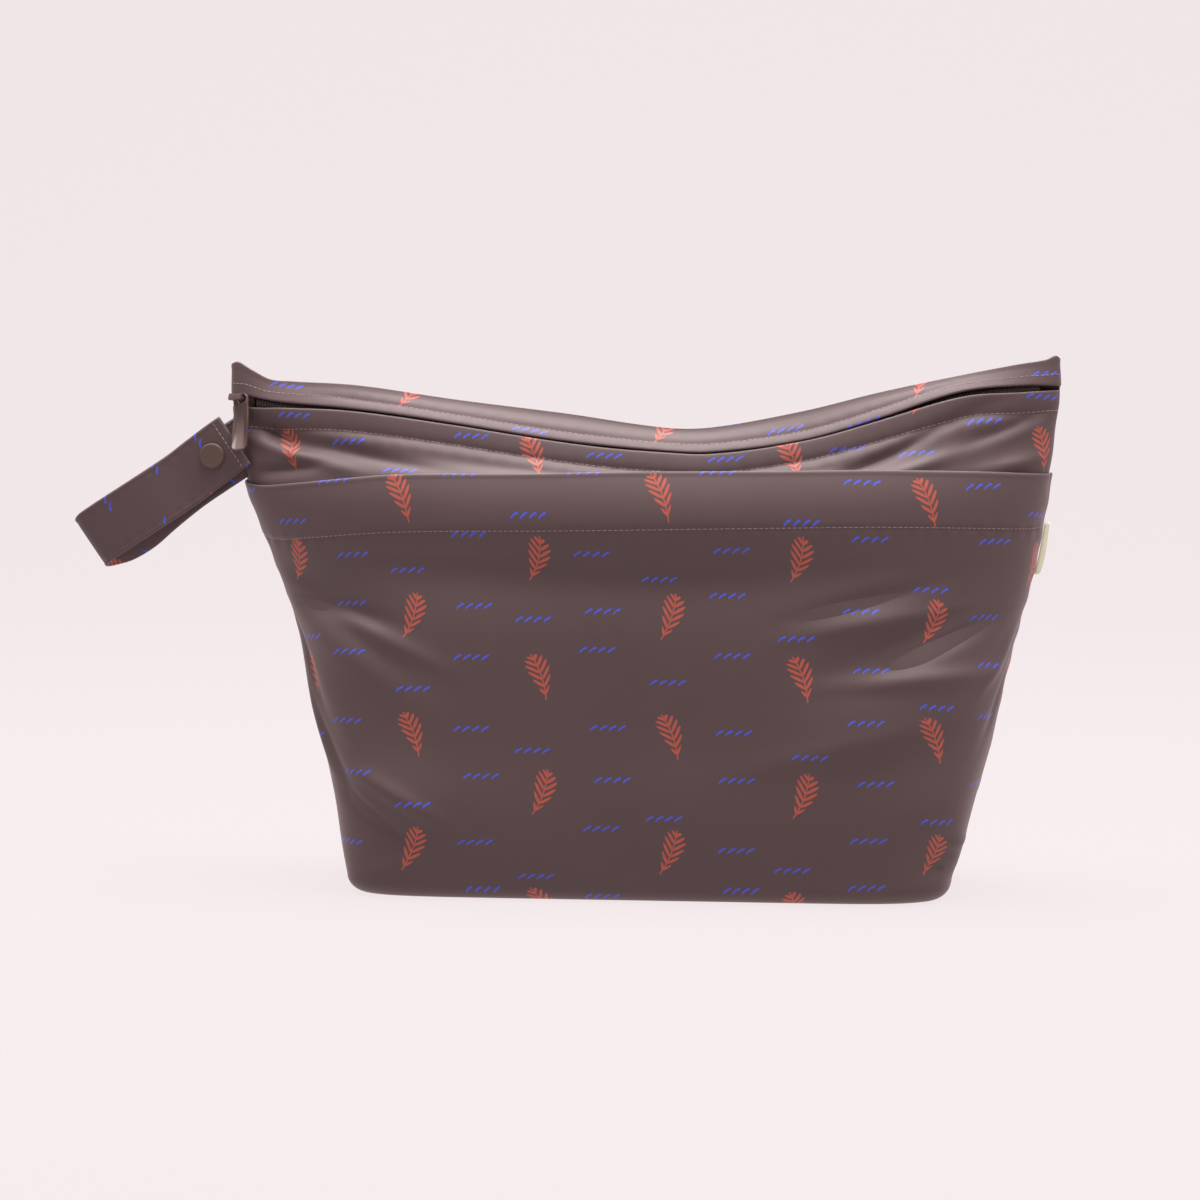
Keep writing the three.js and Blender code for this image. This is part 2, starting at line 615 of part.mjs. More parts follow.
// The pull: a flat tab with a round eye over the foot of the bridge.
function zipPull() {
  const eye = PULL_TOP_WIDTH / 2;
  const half = PULL_WIDTH / 2;
  const corner = 1.6;
  const end = eye - PULL_LENGTH;
  const shape = new THREE.Shape();
  shape.absarc(0, 0, eye, 0, Math.PI, false);
  shape.lineTo(-half, -PULL_LENGTH / 3);
  shape.lineTo(-half, end + corner);
  shape.quadraticCurveTo(-half, end, -half + corner, end);
  shape.lineTo(half - corner, end);
  shape.quadraticCurveTo(half, end, half, end + corner);
  shape.lineTo(half, -PULL_LENGTH / 3);
  shape.closePath();
  const hole = new THREE.Path();
  hole.absarc(0, 0, EYE_DIAMETER / 2, 0, 2 * Math.PI, true);
  shape.holes.push(hole);
  const tab = new THREE.ExtrudeGeometry(shape, {
    depth: PULL_THICKNESS, bevelEnabled: false, curveSegments: 8,
  });
  tab.rotateX(Math.PI / 2);
  tab.rotateY(-THREE.MathUtils.degToRad(PULL_TILT));
  tab.translate(FOOT_X, EYE_FRONT + PULL_THICKNESS, 0);
  tab.applyMatrix4(pullFrame);
  return tab;
}

// The strap: one band from the left seam out to the fold and back over itself to its free end.
// along is a share of STRAP_REACH from the free end, across goes from 0 at the front layer to 1
// at the back layer in shares of the closed snap's height, and drop is a share of STRAP_WIDTH.
const STRAP_PATH = [
  { along: 0.00, across: 0.00, drop: 0.00 },
  { along: 0.08, across: 0.00, drop: 0.00 },
  { along: 0.24, across: 0.00, drop: 0.02 },
  { along: 0.36, across: -0.02, drop: 0.04 },
  { along: 0.60, across: -0.22, drop: 0.03 },
  { along: 0.88, across: -0.05, drop: 0.00 },
  { along: 0.97, across: 0.15, drop: 0.00 },
  { along: 1.00, across: 0.60, drop: 0.03 },
  { along: 0.97, across: 1.02, drop: 0.08 },
  { along: 0.88, across: 1.28, drop: 0.17 },
  { along: 0.74, across: 1.38, drop: 0.20 },
  { along: 0.58, across: 1.26, drop: 0.15 },
  { along: 0.38, across: 1.00, drop: 0.11 },
  { along: 0.24, across: 1.00, drop: 0.11 },
  { along: 0.09, across: 1.00, drop: 0.12 },
  { along: 0.07, across: 1.02, drop: 0.12 },
  { along: 0.02, across: 1.40, drop: 0.12 },
  { along: -0.06, across: 2.00, drop: 0.12 },
];
const STRAP_STEPS = 38;
const SNAP_STACK = STRAP_THICKNESS + 2 * SNAP_BUTTON_THICKNESS + 3 * GAP;
const slope = THREE.MathUtils.degToRad(STRAP_SLOPE);
const STRAP_ALONG = new THREE.Vector3(-Math.cos(slope), 0, -Math.sin(slope));
const STRAP_DOWN = new THREE.Vector3(Math.sin(slope), 0, -Math.cos(slope));

const STRAP_END = new THREE.Vector3(
  -MOUTH_WIDTH / 2 - STRAP_OUT_OF_MOUTH,
  SEAM_Y - STRAP_BEFORE_SEAM,
  BAG_HEIGHT - STRAP_BELOW_EDGE,
);

function strapPoint({ along, across, drop }) {
  return STRAP_END.clone()
    .addScaledVector(STRAP_ALONG, along * STRAP_REACH)
    .addScaledVector(STRAP_DOWN, drop * STRAP_WIDTH)
    .add(new THREE.Vector3(0, across * SNAP_STACK, 0));
}

// What lies inside the left seam, so the root of the strap ends along it.
function leftSeamSide() {
  const stand = HALF_CLOTH + PLY + GAP;
  const shape = new THREE.Shape();
  const rises = [0.68, 0.72, 0.76, 0.80, 0.84, 0.88, 0.92, 0.96];
  rises.forEach((rise, i) => {
    const x = -(MOUTH_WIDTH / 2) * smoothAt(SECTIONS, 'rise', 'left', rise) - stand;
    if (i === 0) shape.moveTo(x, rise * BAG_HEIGHT);
    else shape.lineTo(x, rise * BAG_HEIGHT);
  });
  shape.lineTo(0, BAG_HEIGHT);
  shape.lineTo(0, rises[0] * BAG_HEIGHT);
  const side = new THREE.ExtrudeGeometry(shape, { depth: BASE_DEPTH, bevelEnabled: false });
  side.rotateX(Math.PI / 2);
  side.translate(0, BASE_DEPTH + STRAP_END.y + SNAP_STACK / 2, 0);
  return solidOf(side);
}

function handleStrap() {
  const path = new THREE.CatmullRomCurve3(STRAP_PATH.map(strapPoint));
  const columns = Array.from({ length: STRAP_STEPS + 1 }, (_, i) => i / STRAP_STEPS);
  const half = STRAP_WIDTH / 2;
  const rows = [half, -half];
  const points = rows.map((from) => columns.map((at) => path.getPoint(at).addScaledVector(STRAP_DOWN, from)));
  const normals = rows.map(() => columns.map((at) => path.getTangent(at).cross(STRAP_DOWN).normalize()));
  const grid = { points, normals, rows, columns, facing: -1 };
  const band = solidOf(sheetOf(grid, STRAP_THICKNESS / 2, -STRAP_THICKNESS / 2));
  return band.subtract(leftSeamSide());
}

// A turned disc of the snap at a depth from the front layer's middle, facing forward or back.
function snapDisc(profile, depth, facing) {
  const disc = new THREE.LatheGeometry(profile.map(([r, h]) => new THREE.Vector2(r, h)), 16);
  if (facing < 0) disc.rotateZ(Math.PI);
  const seat = strapPoint({ along: SNAP_FROM_END / STRAP_REACH, across: 0, drop: 0 });
  disc.translate(seat.x, seat.y + depth, seat.z);
  return disc;
}

const capRadius = SNAP_DIAMETER / 2;
const buttonRadius = SNAP_BUTTON_DIAMETER / 2;
const LAYER_FACE = STRAP_THICKNESS / 2 + GAP;
const NUB_RADIUS = buttonRadius * 0.42;
const NUB_HEIGHT = SNAP_BUTTON_THICKNESS * 0.5;
const CAP_PROFILE = [
  [0, 0],
  [capRadius, 0],
  [capRadius, SNAP_CAP_THICKNESS * 0.45],
  [capRadius * 0.93, SNAP_CAP_THICKNESS * 0.8],
  [capRadius * 0.6, SNAP_CAP_THICKNESS],
  [0, SNAP_CAP_THICKNESS],
];
const SOCKET_PROFILE = [
  [0, 0],
  [buttonRadius, 0],
  [buttonRadius, SNAP_BUTTON_THICKNESS],
  [NUB_RADIUS + GAP, SNAP_BUTTON_THICKNESS],
  [NUB_RADIUS + GAP, SNAP_BUTTON_THICKNESS - NUB_HEIGHT - GAP],
  [0, SNAP_BUTTON_THICKNESS - NUB_HEIGHT - GAP],
];
const STUD_PROFILE = [
  [0, 0],
  [buttonRadius, 0],
  [buttonRadius, SNAP_BUTTON_THICKNESS],
  [NUB_RADIUS, SNAP_BUTTON_THICKNESS],
  [NUB_RADIUS, SNAP_BUTTON_THICKNESS + NUB_HEIGHT],
  [0, SNAP_BUTTON_THICKNESS + NUB_HEIGHT],
];

// The label folded into the right seam; it leaves the seam outward and bends to the back.
function sideTag() {
  const stand = HALF_CLOTH + PLY + GAP;
  const bend = TAG_STAND;
  const heights = [TAG_RISE - TAG_HEIGHT / 2, TAG_RISE + TAG_HEIGHT / 2];
  const columns = [0, 0.25, 0.5, 0.75, 1];
  const points = heights.map((z) => {
    const seam = (MOUTH_WIDTH / 2) * smoothAt(SECTIONS, 'rise', 'right', z / BAG_HEIGHT);
    return columns.map((share) => {
      const turn = (share * Math.PI) / 2;
      return new THREE.Vector3(
        seam + stand + bend * Math.sin(turn),
        SEAM_Y + (TAG_LENGTH - bend) * share * share,
        z,
      );
    });
  });
  const grid = { points, normals: normalsOf(points, [{}, {}], 1), rows: heights, columns, facing: 1 };
  return sheetOf(grid, TAG_THICKNESS / 2, -TAG_THICKNESS / 2);
}

const group = new THREE.Group();

function addPiece(name, geometry, colour, roughness, metalness = 0) {
  const material = new THREE.MeshStandardMaterial({ color: colour, roughness, metalness });
  const mesh = new THREE.Mesh(geometry, material);
  mesh.name = name;
  group.add(mesh);
}

const CLOTH_COLOUR = 0x5f4b4c;
const TAPE_COLOUR = 0x2c2223;
const PLASTIC_COLOUR = 0x553c36;
const METAL_COLOUR = 0x594443;
const TAG_COLOUR = 0xe1dcb9;

addPiece('front_panel', geometryOf(frontPanel()), CLOTH_COLOUR, 0.8);
addPiece('pocket_panel', geometryOf(pocketPanel()), CLOTH_COLOUR, 0.8);
addPiece('back_panel', geometryOf(backPanel()), CLOTH_COLOUR, 0.8);
addPiece('zip_tape_upper', zipStrip(TAPE_START, TAPE_END, TAPE_THICKNESS), TAPE_COLOUR, 0.9);
addPiece('zip_tape_lower', zipStrip(-TAPE_END, -TAPE_START, TAPE_THICKNESS), TAPE_COLOUR, 0.9);
addPiece('zip_coil', zipStrip(-COIL_EDGE, COIL_EDGE, COIL_THICKNESS), TAPE_COLOUR, 0.5);
addPiece('zip_slider', zipSlider(), METAL_COLOUR, 0.4, 0.6);
addPiece('zip_pull', zipPull(), METAL_COLOUR, 0.4, 0.6);
addPiece('handle_strap', geometryOf(handleStrap()), CLOTH_COLOUR, 0.8);
addPiece('snap_cap_front', snapDisc(CAP_PROFILE, -LAYER_FACE, -1), PLASTIC_COLOUR, 0.5);
addPiece('snap_socket', snapDisc(SOCKET_PROFILE, LAYER_FACE, 1), PLASTIC_COLOUR, 0.5);
addPiece('snap_stud', snapDisc(STUD_PROFILE, SNAP_STACK - LAYER_FACE, -1), PLASTIC_COLOUR, 0.5);
addPiece('snap_cap_back', snapDisc(CAP_PROFILE, SNAP_STACK + LAYER_FACE, 1), PLASTIC_COLOUR, 0.5);
addPiece('side_tag', sideTag(), TAG_COLOUR, 0.7);

export default group;
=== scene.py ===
"""Standing cloth wet bag: fine cloth, seams, zip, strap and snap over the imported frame."""

import math

import bpy
import numpy as np
from mathutils import Matrix, Vector


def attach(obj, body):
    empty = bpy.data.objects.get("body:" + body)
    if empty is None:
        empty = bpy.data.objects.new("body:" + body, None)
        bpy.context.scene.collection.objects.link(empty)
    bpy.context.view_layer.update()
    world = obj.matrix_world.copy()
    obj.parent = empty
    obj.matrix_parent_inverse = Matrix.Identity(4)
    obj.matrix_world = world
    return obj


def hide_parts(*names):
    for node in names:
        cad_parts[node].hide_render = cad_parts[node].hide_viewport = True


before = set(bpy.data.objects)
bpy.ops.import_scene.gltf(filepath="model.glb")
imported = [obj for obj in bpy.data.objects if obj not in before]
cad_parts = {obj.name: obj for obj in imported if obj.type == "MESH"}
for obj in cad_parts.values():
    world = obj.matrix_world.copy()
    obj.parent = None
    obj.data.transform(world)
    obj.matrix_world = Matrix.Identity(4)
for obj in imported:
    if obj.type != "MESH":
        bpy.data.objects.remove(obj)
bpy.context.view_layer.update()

# Sizes of the bag in millimetres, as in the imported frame
MOUTH_WIDTH = 402
BAG_HEIGHT = 254
BASE_DEPTH = 114
MOUTH_SAG = 32
SEAM_Y = 6
BOTTOM_RADIUS = 9
BASE_FADE = 8
CLOTH = 1.2
GAP = 0.3
HEM_RADIUS = 1.1
POCKET_HEIGHT = 198
POCKET_GAPE = 7.5
GAPE_REACH = 48

# Sizes of the zip
BAND_HEIGHT = 20
SLIT_WIDE = 5.4
SLIT_NARROW = 1.0
COIL_WIDTH = 4.4
COIL_THICKNESS = 1.6
TOOTH_PITCH = 0.72
TOOTH_RADIUS = 0.42
TAPE_WIDTH = 4.6
ZIP_CLEARANCE = 0.5
ZIP_FROM_LEFT = 16
ZIP_FROM_RIGHT = 12
SLIDER_FROM_LEFT = 10
PULL_LENGTH = 30
PULL_TOP_WIDTH = 6.2
PULL_WIDTH = 8
PULL_THICKNESS = 1.6
PULL_CORNER = 2.2
PULL_SUNK = 0.3
EYE_DIAMETER = 4.4
PULL_CLEARANCE = 1.3
PULL_LEAN = 22
PULL_TILT = 8
FOOT_FROM_MIDDLE = 1.2

# Sizes of the strap, its snap and the tag
STRAP_WIDTH = 28
STRAP_REACH = 88
STRAP_THICKNESS = 2
STRAP_SLOPE = 34.2
STRAP_OUT_OF_MOUTH = 1.5
STRAP_BEFORE_SEAM = 14.2
STRAP_BELOW_EDGE = 39.3
SNAP_DIAMETER = 12.4
SNAP_CAP_THICKNESS = 1.6
SNAP_BUTTON_DIAMETER = 9.8
SNAP_BUTTON_THICKNESS = 2.2
SNAP_FROM_END = 13.5
TAG_HEIGHT = 25
TAG_LENGTH = 11
TAG_RISE = 164
TAG_STAND = 2.4
TAG_HALF_THICKNESS = 0.55

# Stitch lines as distances along the cloth from the edge that they run beside
STITCH_ABOVE_SLIT = 5.5
STITCH_BELOW_SLIT = 10
STITCH_BELOW_POCKET_EDGE = 26
STITCH_BEFORE_END = 4
STITCH_PITCH = 2.6
STITCH_LENGTH = 1.9
THREAD_RADIUS = 0.2

HALF_MOUTH = MOUTH_WIDTH / 2
HALF_CLOTH = CLOTH / 2
PLY = CLOTH + GAP
SLIT_RISE = 1 - BAND_HEIGHT / BAG_HEIGHT
POCKET_RISE = POCKET_HEIGHT / BAG_HEIGHT
SLIDER_PLACE = SLIDER_FROM_LEFT / HALF_MOUTH - 1
COLUMNS = 320
MM = 0.001


def table(names, *rows):
    """Named columns of numbers."""
    return {name: np.array(column, float) for name, column in zip(names.split(), zip(*rows))}


# Level sections from the base to the top edge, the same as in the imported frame
SECTIONS = table(
    "rise left right front back broad full",
    (0.000, 0.708, 0.700, 1.04, 0.84, 8.0, 7.0),
    (0.035, 0.712, 0.705, 1.05, 0.85, 8.0, 7.0),
    (0.097, 0.731, 0.731, 1.09, 0.88, 7.0, 5.0),
    (0.181, 0.752, 0.762, 1.12, 0.90, 6.0, 4.0),
    (0.268, 0.782, 0.791, 1.12, 0.92, 5.0, 3.2),
    (0.382, 0.822, 0.823, 1.12, 0.91, 4.2, 2.6),
    (0.496, 0.858, 0.858, 1.09, 0.88, 3.6, 2.3),
    (0.610, 0.911, 0.897, 1.03, 0.80, 3.0, 2.1),
    (0.724, 0.969, 0.923, 0.94, 0.64, 2.6, 2.0),
    (0.780, 0.994, 0.935, 0.84, 0.52, 2.4, 2.0),
    (0.850, 1.013, 0.950, 0.67, 0.33, 2.3, 1.9),
    (0.921, 1.027, 0.960, 0.53, 0.06, 2.3, 1.9),
    (1.000, 1.027, 0.957, 0.33, -0.33, 2.3, 1.9),
)

# Drop of the top edge and of the slit along the cloth, and how far the slit stands open
MOUTH_LINE = table(
    "place edge slit open",
    (-1.00, 0.11, 0.00, 1.0),
    (-0.975, 0.08, 0.008, 1.0),
    (-0.94, 0.19, 0.02, 1.0),
    (-0.89, 0.34, 0.05, 0.7),
    (-0.84, 0.37, 0.07, 0.4),
    (-0.67, 0.43, 0.14, 0.1),
    (-0.43, 0.64, 0.34, 0.0),
    (-0.17, 0.84, 0.60, 0.0),
    (0.07, 1.05, 0.75, 0.0),
    (0.18, 1.04, 0.76, 0.0),
    (0.39, 0.80, 0.57, 0.0),
    (0.57, 0.52, 0.24, 0.1),
    (0.75, 0.28, -0.12, 0.4),
    (0.89, 0.11, -0.19, 0.5),
    (0.96, 0.04, -0.20, 0.3),
    (0.985, -0.02, -0.20, 0.2),
    (1.00, 0.02, -0.20, 0.1),
)

# Drop of the pocket's edge along the cloth, as a share of POCKET_HEIGHT
POCKET_LINE = table(
    "place drop",
    (-1.00, 0.012),
    (-0.88, 0.023),
    (-0.77, 0.020),
    (-0.55, 0.010),
    (-0.20, 0.006),
    (0.20, 0.000),
    (0.60, -0.007),
    (1.00, -0.012),
)

SLACK = table("rise share", (0.66, 0.00), (0.78, 0.22), (0.85, 0.80), (0.92, 1.00))

# Main folds of the front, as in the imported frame: depth is a share of BASE_DEPTH
MAIN_FOLDS = table(
    "place rise run width lean depth",
    (-0.74, 0.47, 0.20, 0.05, -33, 0.035),
    (-0.76, 0.56, 0.14, 0.06, -20, -0.036),
    (-0.79, 0.32, 0.16, 0.04, -62, -0.022),
    (-0.60, 0.20, 0.18, 0.07, -20, 0.022),
    (0.62, 0.50, 0.20, 0.05, 24, -0.035),
    (0.60, 0.36, 0.26, 0.07, 18, 0.026),
    (0.00, 0.69, 0.50, 0.06, 0, 0.022),
    (0.00, 0.60, 0.55, 0.07, 0, -0.026),
    (0.72, 0.09, 0.09, 0.06, 0, -0.050),
    (0.05, 0.35, 0.50, 0.22, 0, -0.022),
)


def smooth_at(rows, key, column, at):
    """A value read smoothly from one column of a table with rising steps."""
    t, v = rows[key], rows[column]
    at = np.clip(np.asarray(at, float), t[0], t[-1])
    i = np.clip(np.searchsorted(t, at, side="right") - 1, 0, len(t) - 2)
    order = np.arange(len(t))
    before = np.maximum(order - 1, 0)
    after = np.minimum(order + 1, len(t) - 1)
    slope = (v[after] - v[before]) / (t[after] - t[before])
    step = t[i + 1] - t[i]
    s = (at - t[i]) / step
    s2, s3 = s * s, s * s * s
    return (
        (2 * s3 - 3 * s2 + 1) * v[i]
        + (s3 - 2 * s2 + s) * step * slope[i]
        + (3 * s2 - 2 * s3) * v[i + 1]
        + (s3 - s2) * step * slope[i + 1]
    )


# The level sections, sampled by rise and by place along the cloth
SECTION_RISES = np.linspace(0, 1, 201)
SECTION_PLACES = np.linspace(-1, 1, 641)
CURVE_STEPS = 120


def sampled_sections(side):
    """X, Y and length of the outline at each sampled rise and place."""
    angle = np.pi * np.arange(CURVE_STEPS + 1) / CURVE_STEPS
    across = -np.cos(angle)
    outward = -1 if side == "front" else 1
    xs, ys, lengths = [], [], []
    for rise in SECTION_RISES:
        value = {name: float(smooth_at(SECTIONS, "rise", name, rise)) for name in SECTIONS}
        half = np.where(across < 0, value["left"], value["right"]) * HALF_MOUTH
        x = np.sign(across) * np.abs(across) ** (2 / value["broad"]) * half
        y = outward * value[side] * BASE_DEPTH / 2 * np.abs(np.sin(angle)) ** (2 / value["full"])
        length = np.concatenate([[0], np.cumsum(np.hypot(np.diff(x), np.diff(y)))])
        wanted = length[-1] * (SECTION_PLACES + 1) / 2
        xs.append(np.interp(wanted, length, x))
        ys.append(np.interp(wanted, length, y))
        lengths.append(length[-1])
    return np.array(xs), np.array(ys), np.array(lengths)


SECTION_GRIDS = {side: sampled_sections(side) for side in ("front", "back")}


def sampled(grid, place, rise):
    """A value between the samples of a grid, running straight on past its ends."""
    a = (place + 1) / 2 * (len(SECTION_PLACES) - 1)
    b = rise * (len(SECTION_RISES) - 1)
    i = np.clip(np.floor(a).astype(int), 0, len(SECTION_PLACES) - 2)
    j = np.clip(np.floor(b).astype(int), 0, len(SECTION_RISES) - 2)
    a, b = a - i, b - j
    low = grid[j, i] * (1 - a) + grid[j, i + 1] * a
    high = grid[j + 1, i] * (1 - a) + grid[j + 1, i + 1] * a
    return low * (1 - b) + high * b


def sag_at(place, rise):
    """How far the front hangs below its height at the seams."""
    slit = smooth_at(MOUTH_LINE, "place", "slit", place)
    edge = smooth_at(MOUTH_LINE, "place", "edge", place)
    below = slit * smooth_at(SLACK, "rise", "share", rise)
    above = slit + (edge - slit) * (rise - SLIT_RISE) / (1 - SLIT_RISE)
    return MOUTH_SAG * np.where(rise <= SLIT_RISE, below, above)


def back_sag_at(place, rise):
    """How far the back hangs below its height at the seams."""
    edge = smooth_at(MOUTH_LINE, "place", "edge", place)
    low = SLACK["rise"][0]
    high = np.maximum(0, (rise - low) / (1 - low))
    near_seam = np.minimum(np.abs(place), 1) ** 8
    return MOUTH_SAG * edge * high ** 1.6 * (1 - near_seam) + sag_at(place, rise) * near_seam


def clear_of_seams(place, steepness):
    """0 at the side seams, rising to 1 away from them."""
    return np.clip((1 - np.abs(place)) * steepness, 0, 1)


def above_base(rise):
    """0 on the base and its bottom edge, rising to 1 on the wall above them."""
    return np.clip((rise * BAG_HEIGHT - BOTTOM_RADIUS) / BASE_FADE, 0, 1)


def folds_at(folds, place, rise):
    """Outward push of a table of folds, in millimetres."""
    push = np.zeros(np.broadcast(place, rise).shape)
    for k in range(len(folds["place"])):
        across = place - folds["place"][k]
        up = (rise - folds["rise"][k]) * BAG_HEIGHT / HALF_MOUTH
        lean = math.radians(folds["lean"][k])
        along = across * math.cos(lean) + up * math.sin(lean)
        beside = up * math.cos(lean) - across * math.sin(lean)
        shape = np.exp(-((along / folds["run"][k]) ** 2) - (beside / folds["width"][k]) ** 2)
        push += folds["depth"][k] * BASE_DEPTH * shape
    return push * clear_of_seams(place, 8)


def wall_point(side, place, rise, slack=True):
    """Middle of a wall's cloth above the bottom edge, as an array of points."""
    place, rise = np.broadcast_arrays(np.asarray(place, float), np.asarray(rise, float))
    xs, ys, _ = SECTION_GRIDS[side]
    x = sampled(xs, place, rise)
    y = sampled(ys, place, rise) + SEAM_Y
    if side == "front":
        y = y - folds_at(MAIN_FOLDS, place, rise)
    sag = sag_at(place, rise) if side == "front" else back_sag_at(place, rise)
    z = rise * BAG_HEIGHT - (sag if slack else 0)
    return np.stack([x, y, z], axis=-1)


def bottom_points(side, places, radius):
    """Rows of a wall's base from the side-seam plane outward and round the bottom edge."""
    rise = BOTTOM_RADIUS / BAG_HEIGHT
    edge = wall_point(side, places, rise, slack=False)
    widest = HALF_MOUTH * smooth_at(SECTIONS, "rise", "left", rise)
    deepest = BASE_DEPTH / 2 * smooth_at(SECTIONS, "rise", side, rise)
    rows = []
    for turn in np.radians(np.linspace(0, 90, 10))[:-1]:
        inset = radius * (1 - math.sin(turn))
        row = edge.copy()
        row[:, 0] *= 1 - inset / widest
        row[:, 1] = SEAM_Y + (row[:, 1] - SEAM_Y) * (1 - inset / deepest)
        row[:, 2] = BOTTOM_RADIUS - radius * math.cos(turn)
        rows.append(row)
    inner = []
    for share in np.linspace(0, 1, 9)[:-1]:
        row = rows[0].copy()
        row[:, 1] = SEAM_Y + (row[:, 1] - SEAM_Y) * share
        inner.append(row)
    return np.array(inner + rows)


def normals_of(points, facing):
    normals = np.cross(np.gradient(points, axis=1), np.gradient(points, axis=0))
    size = np.linalg.norm(normals, axis=-1, keepdims=True)
    return facing * normals / np.maximum(size, 1e-9)


def half_opening(place):
    opening = smooth_at(MOUTH_LINE, "place", "open", place)
    return (SLIT_NARROW + (SLIT_WIDE - SLIT_NARROW) * opening) / 2


def rise_from_slit(place, distance):
    """Rise at a distance along the front cloth from the slit's middle, upward when positive."""
    step = 0.02 * np.sign(distance)
    at_slit = wall_point("front", place, SLIT_RISE)
    length = np.linalg.norm(wall_point("front", place, SLIT_RISE + step) - at_slit, axis=-1)
    return SLIT_RISE + step * np.abs(distance) / length


# Distances of the fine rows beside a free edge, closest at the edge itself
EDGE_ROWS = np.concatenate([
    [0, 0.08, 0.25, 0.5, 0.8, 1.15],
    np.arange(1.6, 4.7, 0.6),
    np.arange(5.5, 33, 1.0),
])


def round_edge(distance, reach=1.0):
    """Share of full thickness near a free edge, so the edge is round."""
    inside = np.clip(distance / reach, 0, 1)
    return np.sqrt(np.clip(1 - (1 - inside) ** 2, 0.0004, 1))


def bump(distance, at, width):
    return np.exp(-(((distance - at) / width) ** 2))


def waves(u, v, seed, longest, shortest, count=14):
    """A gentle crumple over the flat cloth, from -1 to 1 or so."""
    chance = np.random.default_rng(seed)
    total = np.zeros(np.broadcast(u, v).shape)
    for _ in range(count):
        length = chance.uniform(shortest, longest)
        turn, phase = chance.uniform(0, 2 * math.pi, 2)
        total += np.sin(2 * math.pi * (u * math.cos(turn) + v * math.sin(turn)) / length + phase)
    return total / math.sqrt(count)


def linked(name, data):
    """A new object in the scene."""
    piece = bpy.data.objects.new(name, data)
    bpy.context.scene.collection.objects.link(piece)
    return piece


def smooth(mesh):
    mesh.polygons.foreach_set("use_smooth", [True] * len(mesh.polygons))


def mesh_object(name, vertices, faces, uv=None):
    """A new object from points in millimetres, with a place on the flat cloth for each point."""
    mesh = bpy.data.meshes.new(name)
    mesh.from_pydata((np.asarray(vertices, float) * MM).tolist(), [], np.asarray(faces).tolist())
    if uv is not None:
        layer = mesh.uv_layers.new(name="print_map")
        loops = np.empty(len(mesh.loops), dtype=np.int32)
        mesh.loops.foreach_get("vertex_index", loops)
        layer.data.foreach_set("uv", (np.asarray(uv, float) * MM)[loops].ravel())
    smooth(mesh)
    mesh.update()
    mesh.validate()
    return linked(name, mesh)


def grid_faces(rows, columns, start=0, closed=False):
    """Quads over a grid of points, in the order of the outer face."""
    index = start + np.arange(rows * columns).reshape(rows, columns)
    if closed:
        index = np.concatenate([index, index[:, :1]], axis=1)
    a, b, c, d = index[:-1, :-1], index[:-1, 1:], index[1:, 1:], index[1:, :-1]
    return np.stack([a, b, c, d], axis=-1).reshape(-1, 4)


def shell(name, outer, inner, uv, facing):
    """A closed sheet between two grids of points."""
    rows, columns = outer.shape[:2]
    count = rows * columns
    front = grid_faces(rows, columns)
    back = grid_faces(rows, columns, count)[:, ::-1]
    index = np.arange(count).reshape(rows, columns)
    loop = np.concatenate([index[0, :], index[1:, -1], index[-1, -2::-1], index[-2:0:-1, 0], index[:1, 0]])
    rim = np.stack([loop[1:], loop[:-1], loop[:-1] + count, loop[1:] + count], axis=-1)
    faces = np.concatenate([front, back, rim])
    if facing < 0:
        faces = faces[:, ::-1]
    points = np.concatenate([outer.reshape(-1, 3), inner.reshape(-1, 3)])
    places = np.concatenate([uv.reshape(-1, 2), uv.reshape(-1, 2)])
    return mesh_object(name, points, faces, places)


def wall_places():
    """Places of the columns from seam to seam, closer together near the seams."""
    even = np.linspace(-1, 1, COLUMNS + 1)
    return even * (1 + 0.25 * (1 - even * even))


def print_places(side, places, rises, points, level):
    """Place of each point on the flat cloth, in millimetres, with the height counted from one row."""
    _, _, lengths = SECTION_GRIDS[side]
    length = np.interp(rises, SECTION_RISES, lengths)
    u = places * length / 2
    step = np.linalg.norm(np.diff(points, axis=0), axis=-1)
    v = np.concatenate([np.zeros((1, points.shape[1])), np.cumsum(step, axis=0)])
    return np.stack([np.broadcast_to(u, v.shape), v - v[level]], axis=-1)


def seam_groove(places, rises, lengths):
    """Pull of the side seams on the cloth: a groove at the seam and small gathers beside it."""
    from_seam = (1 - np.abs(places)) * lengths / 2
    height = rises * BAG_HEIGHT
    gather = np.sin(2 * math.pi * height / 17 + 1.6 * np.sin(height / 23)) * 0.28
    return -0.7 * bump(from_seam, 0, 1.4) + gather * bump(from_seam, 5, 5)


PLACES = wall_places()
FINE_FOLDS = 1.25

# Finer folds of the front above the pocket: depth is a share of BASE_DEPTH
UPPER_FOLDS = table(
    "place rise run width lean depth",
    (-0.86, 0.865, 0.10, 0.030, -20, -0.030),
    (-0.80, 0.825, 0.14, 0.018, -14, 0.018),
    (-0.70, 0.845, 0.22, 0.020, -10, -0.016),
    (-0.84, 0.795, 0.10, 0.016, 8, -0.018),
    (0.58, 0.845, 0.22, 0.018, 16, -0.016),
    (0.70, 0.815, 0.22, 0.016, 13, 0.014),
    (0.84, 0.850, 0.16, 0.016, 18, -0.016),
    (0.88, 0.800, 0.12, 0.014, 10, 0.012),
    (0.10, 0.800, 0.50, 0.030, 0, 0.010),
)

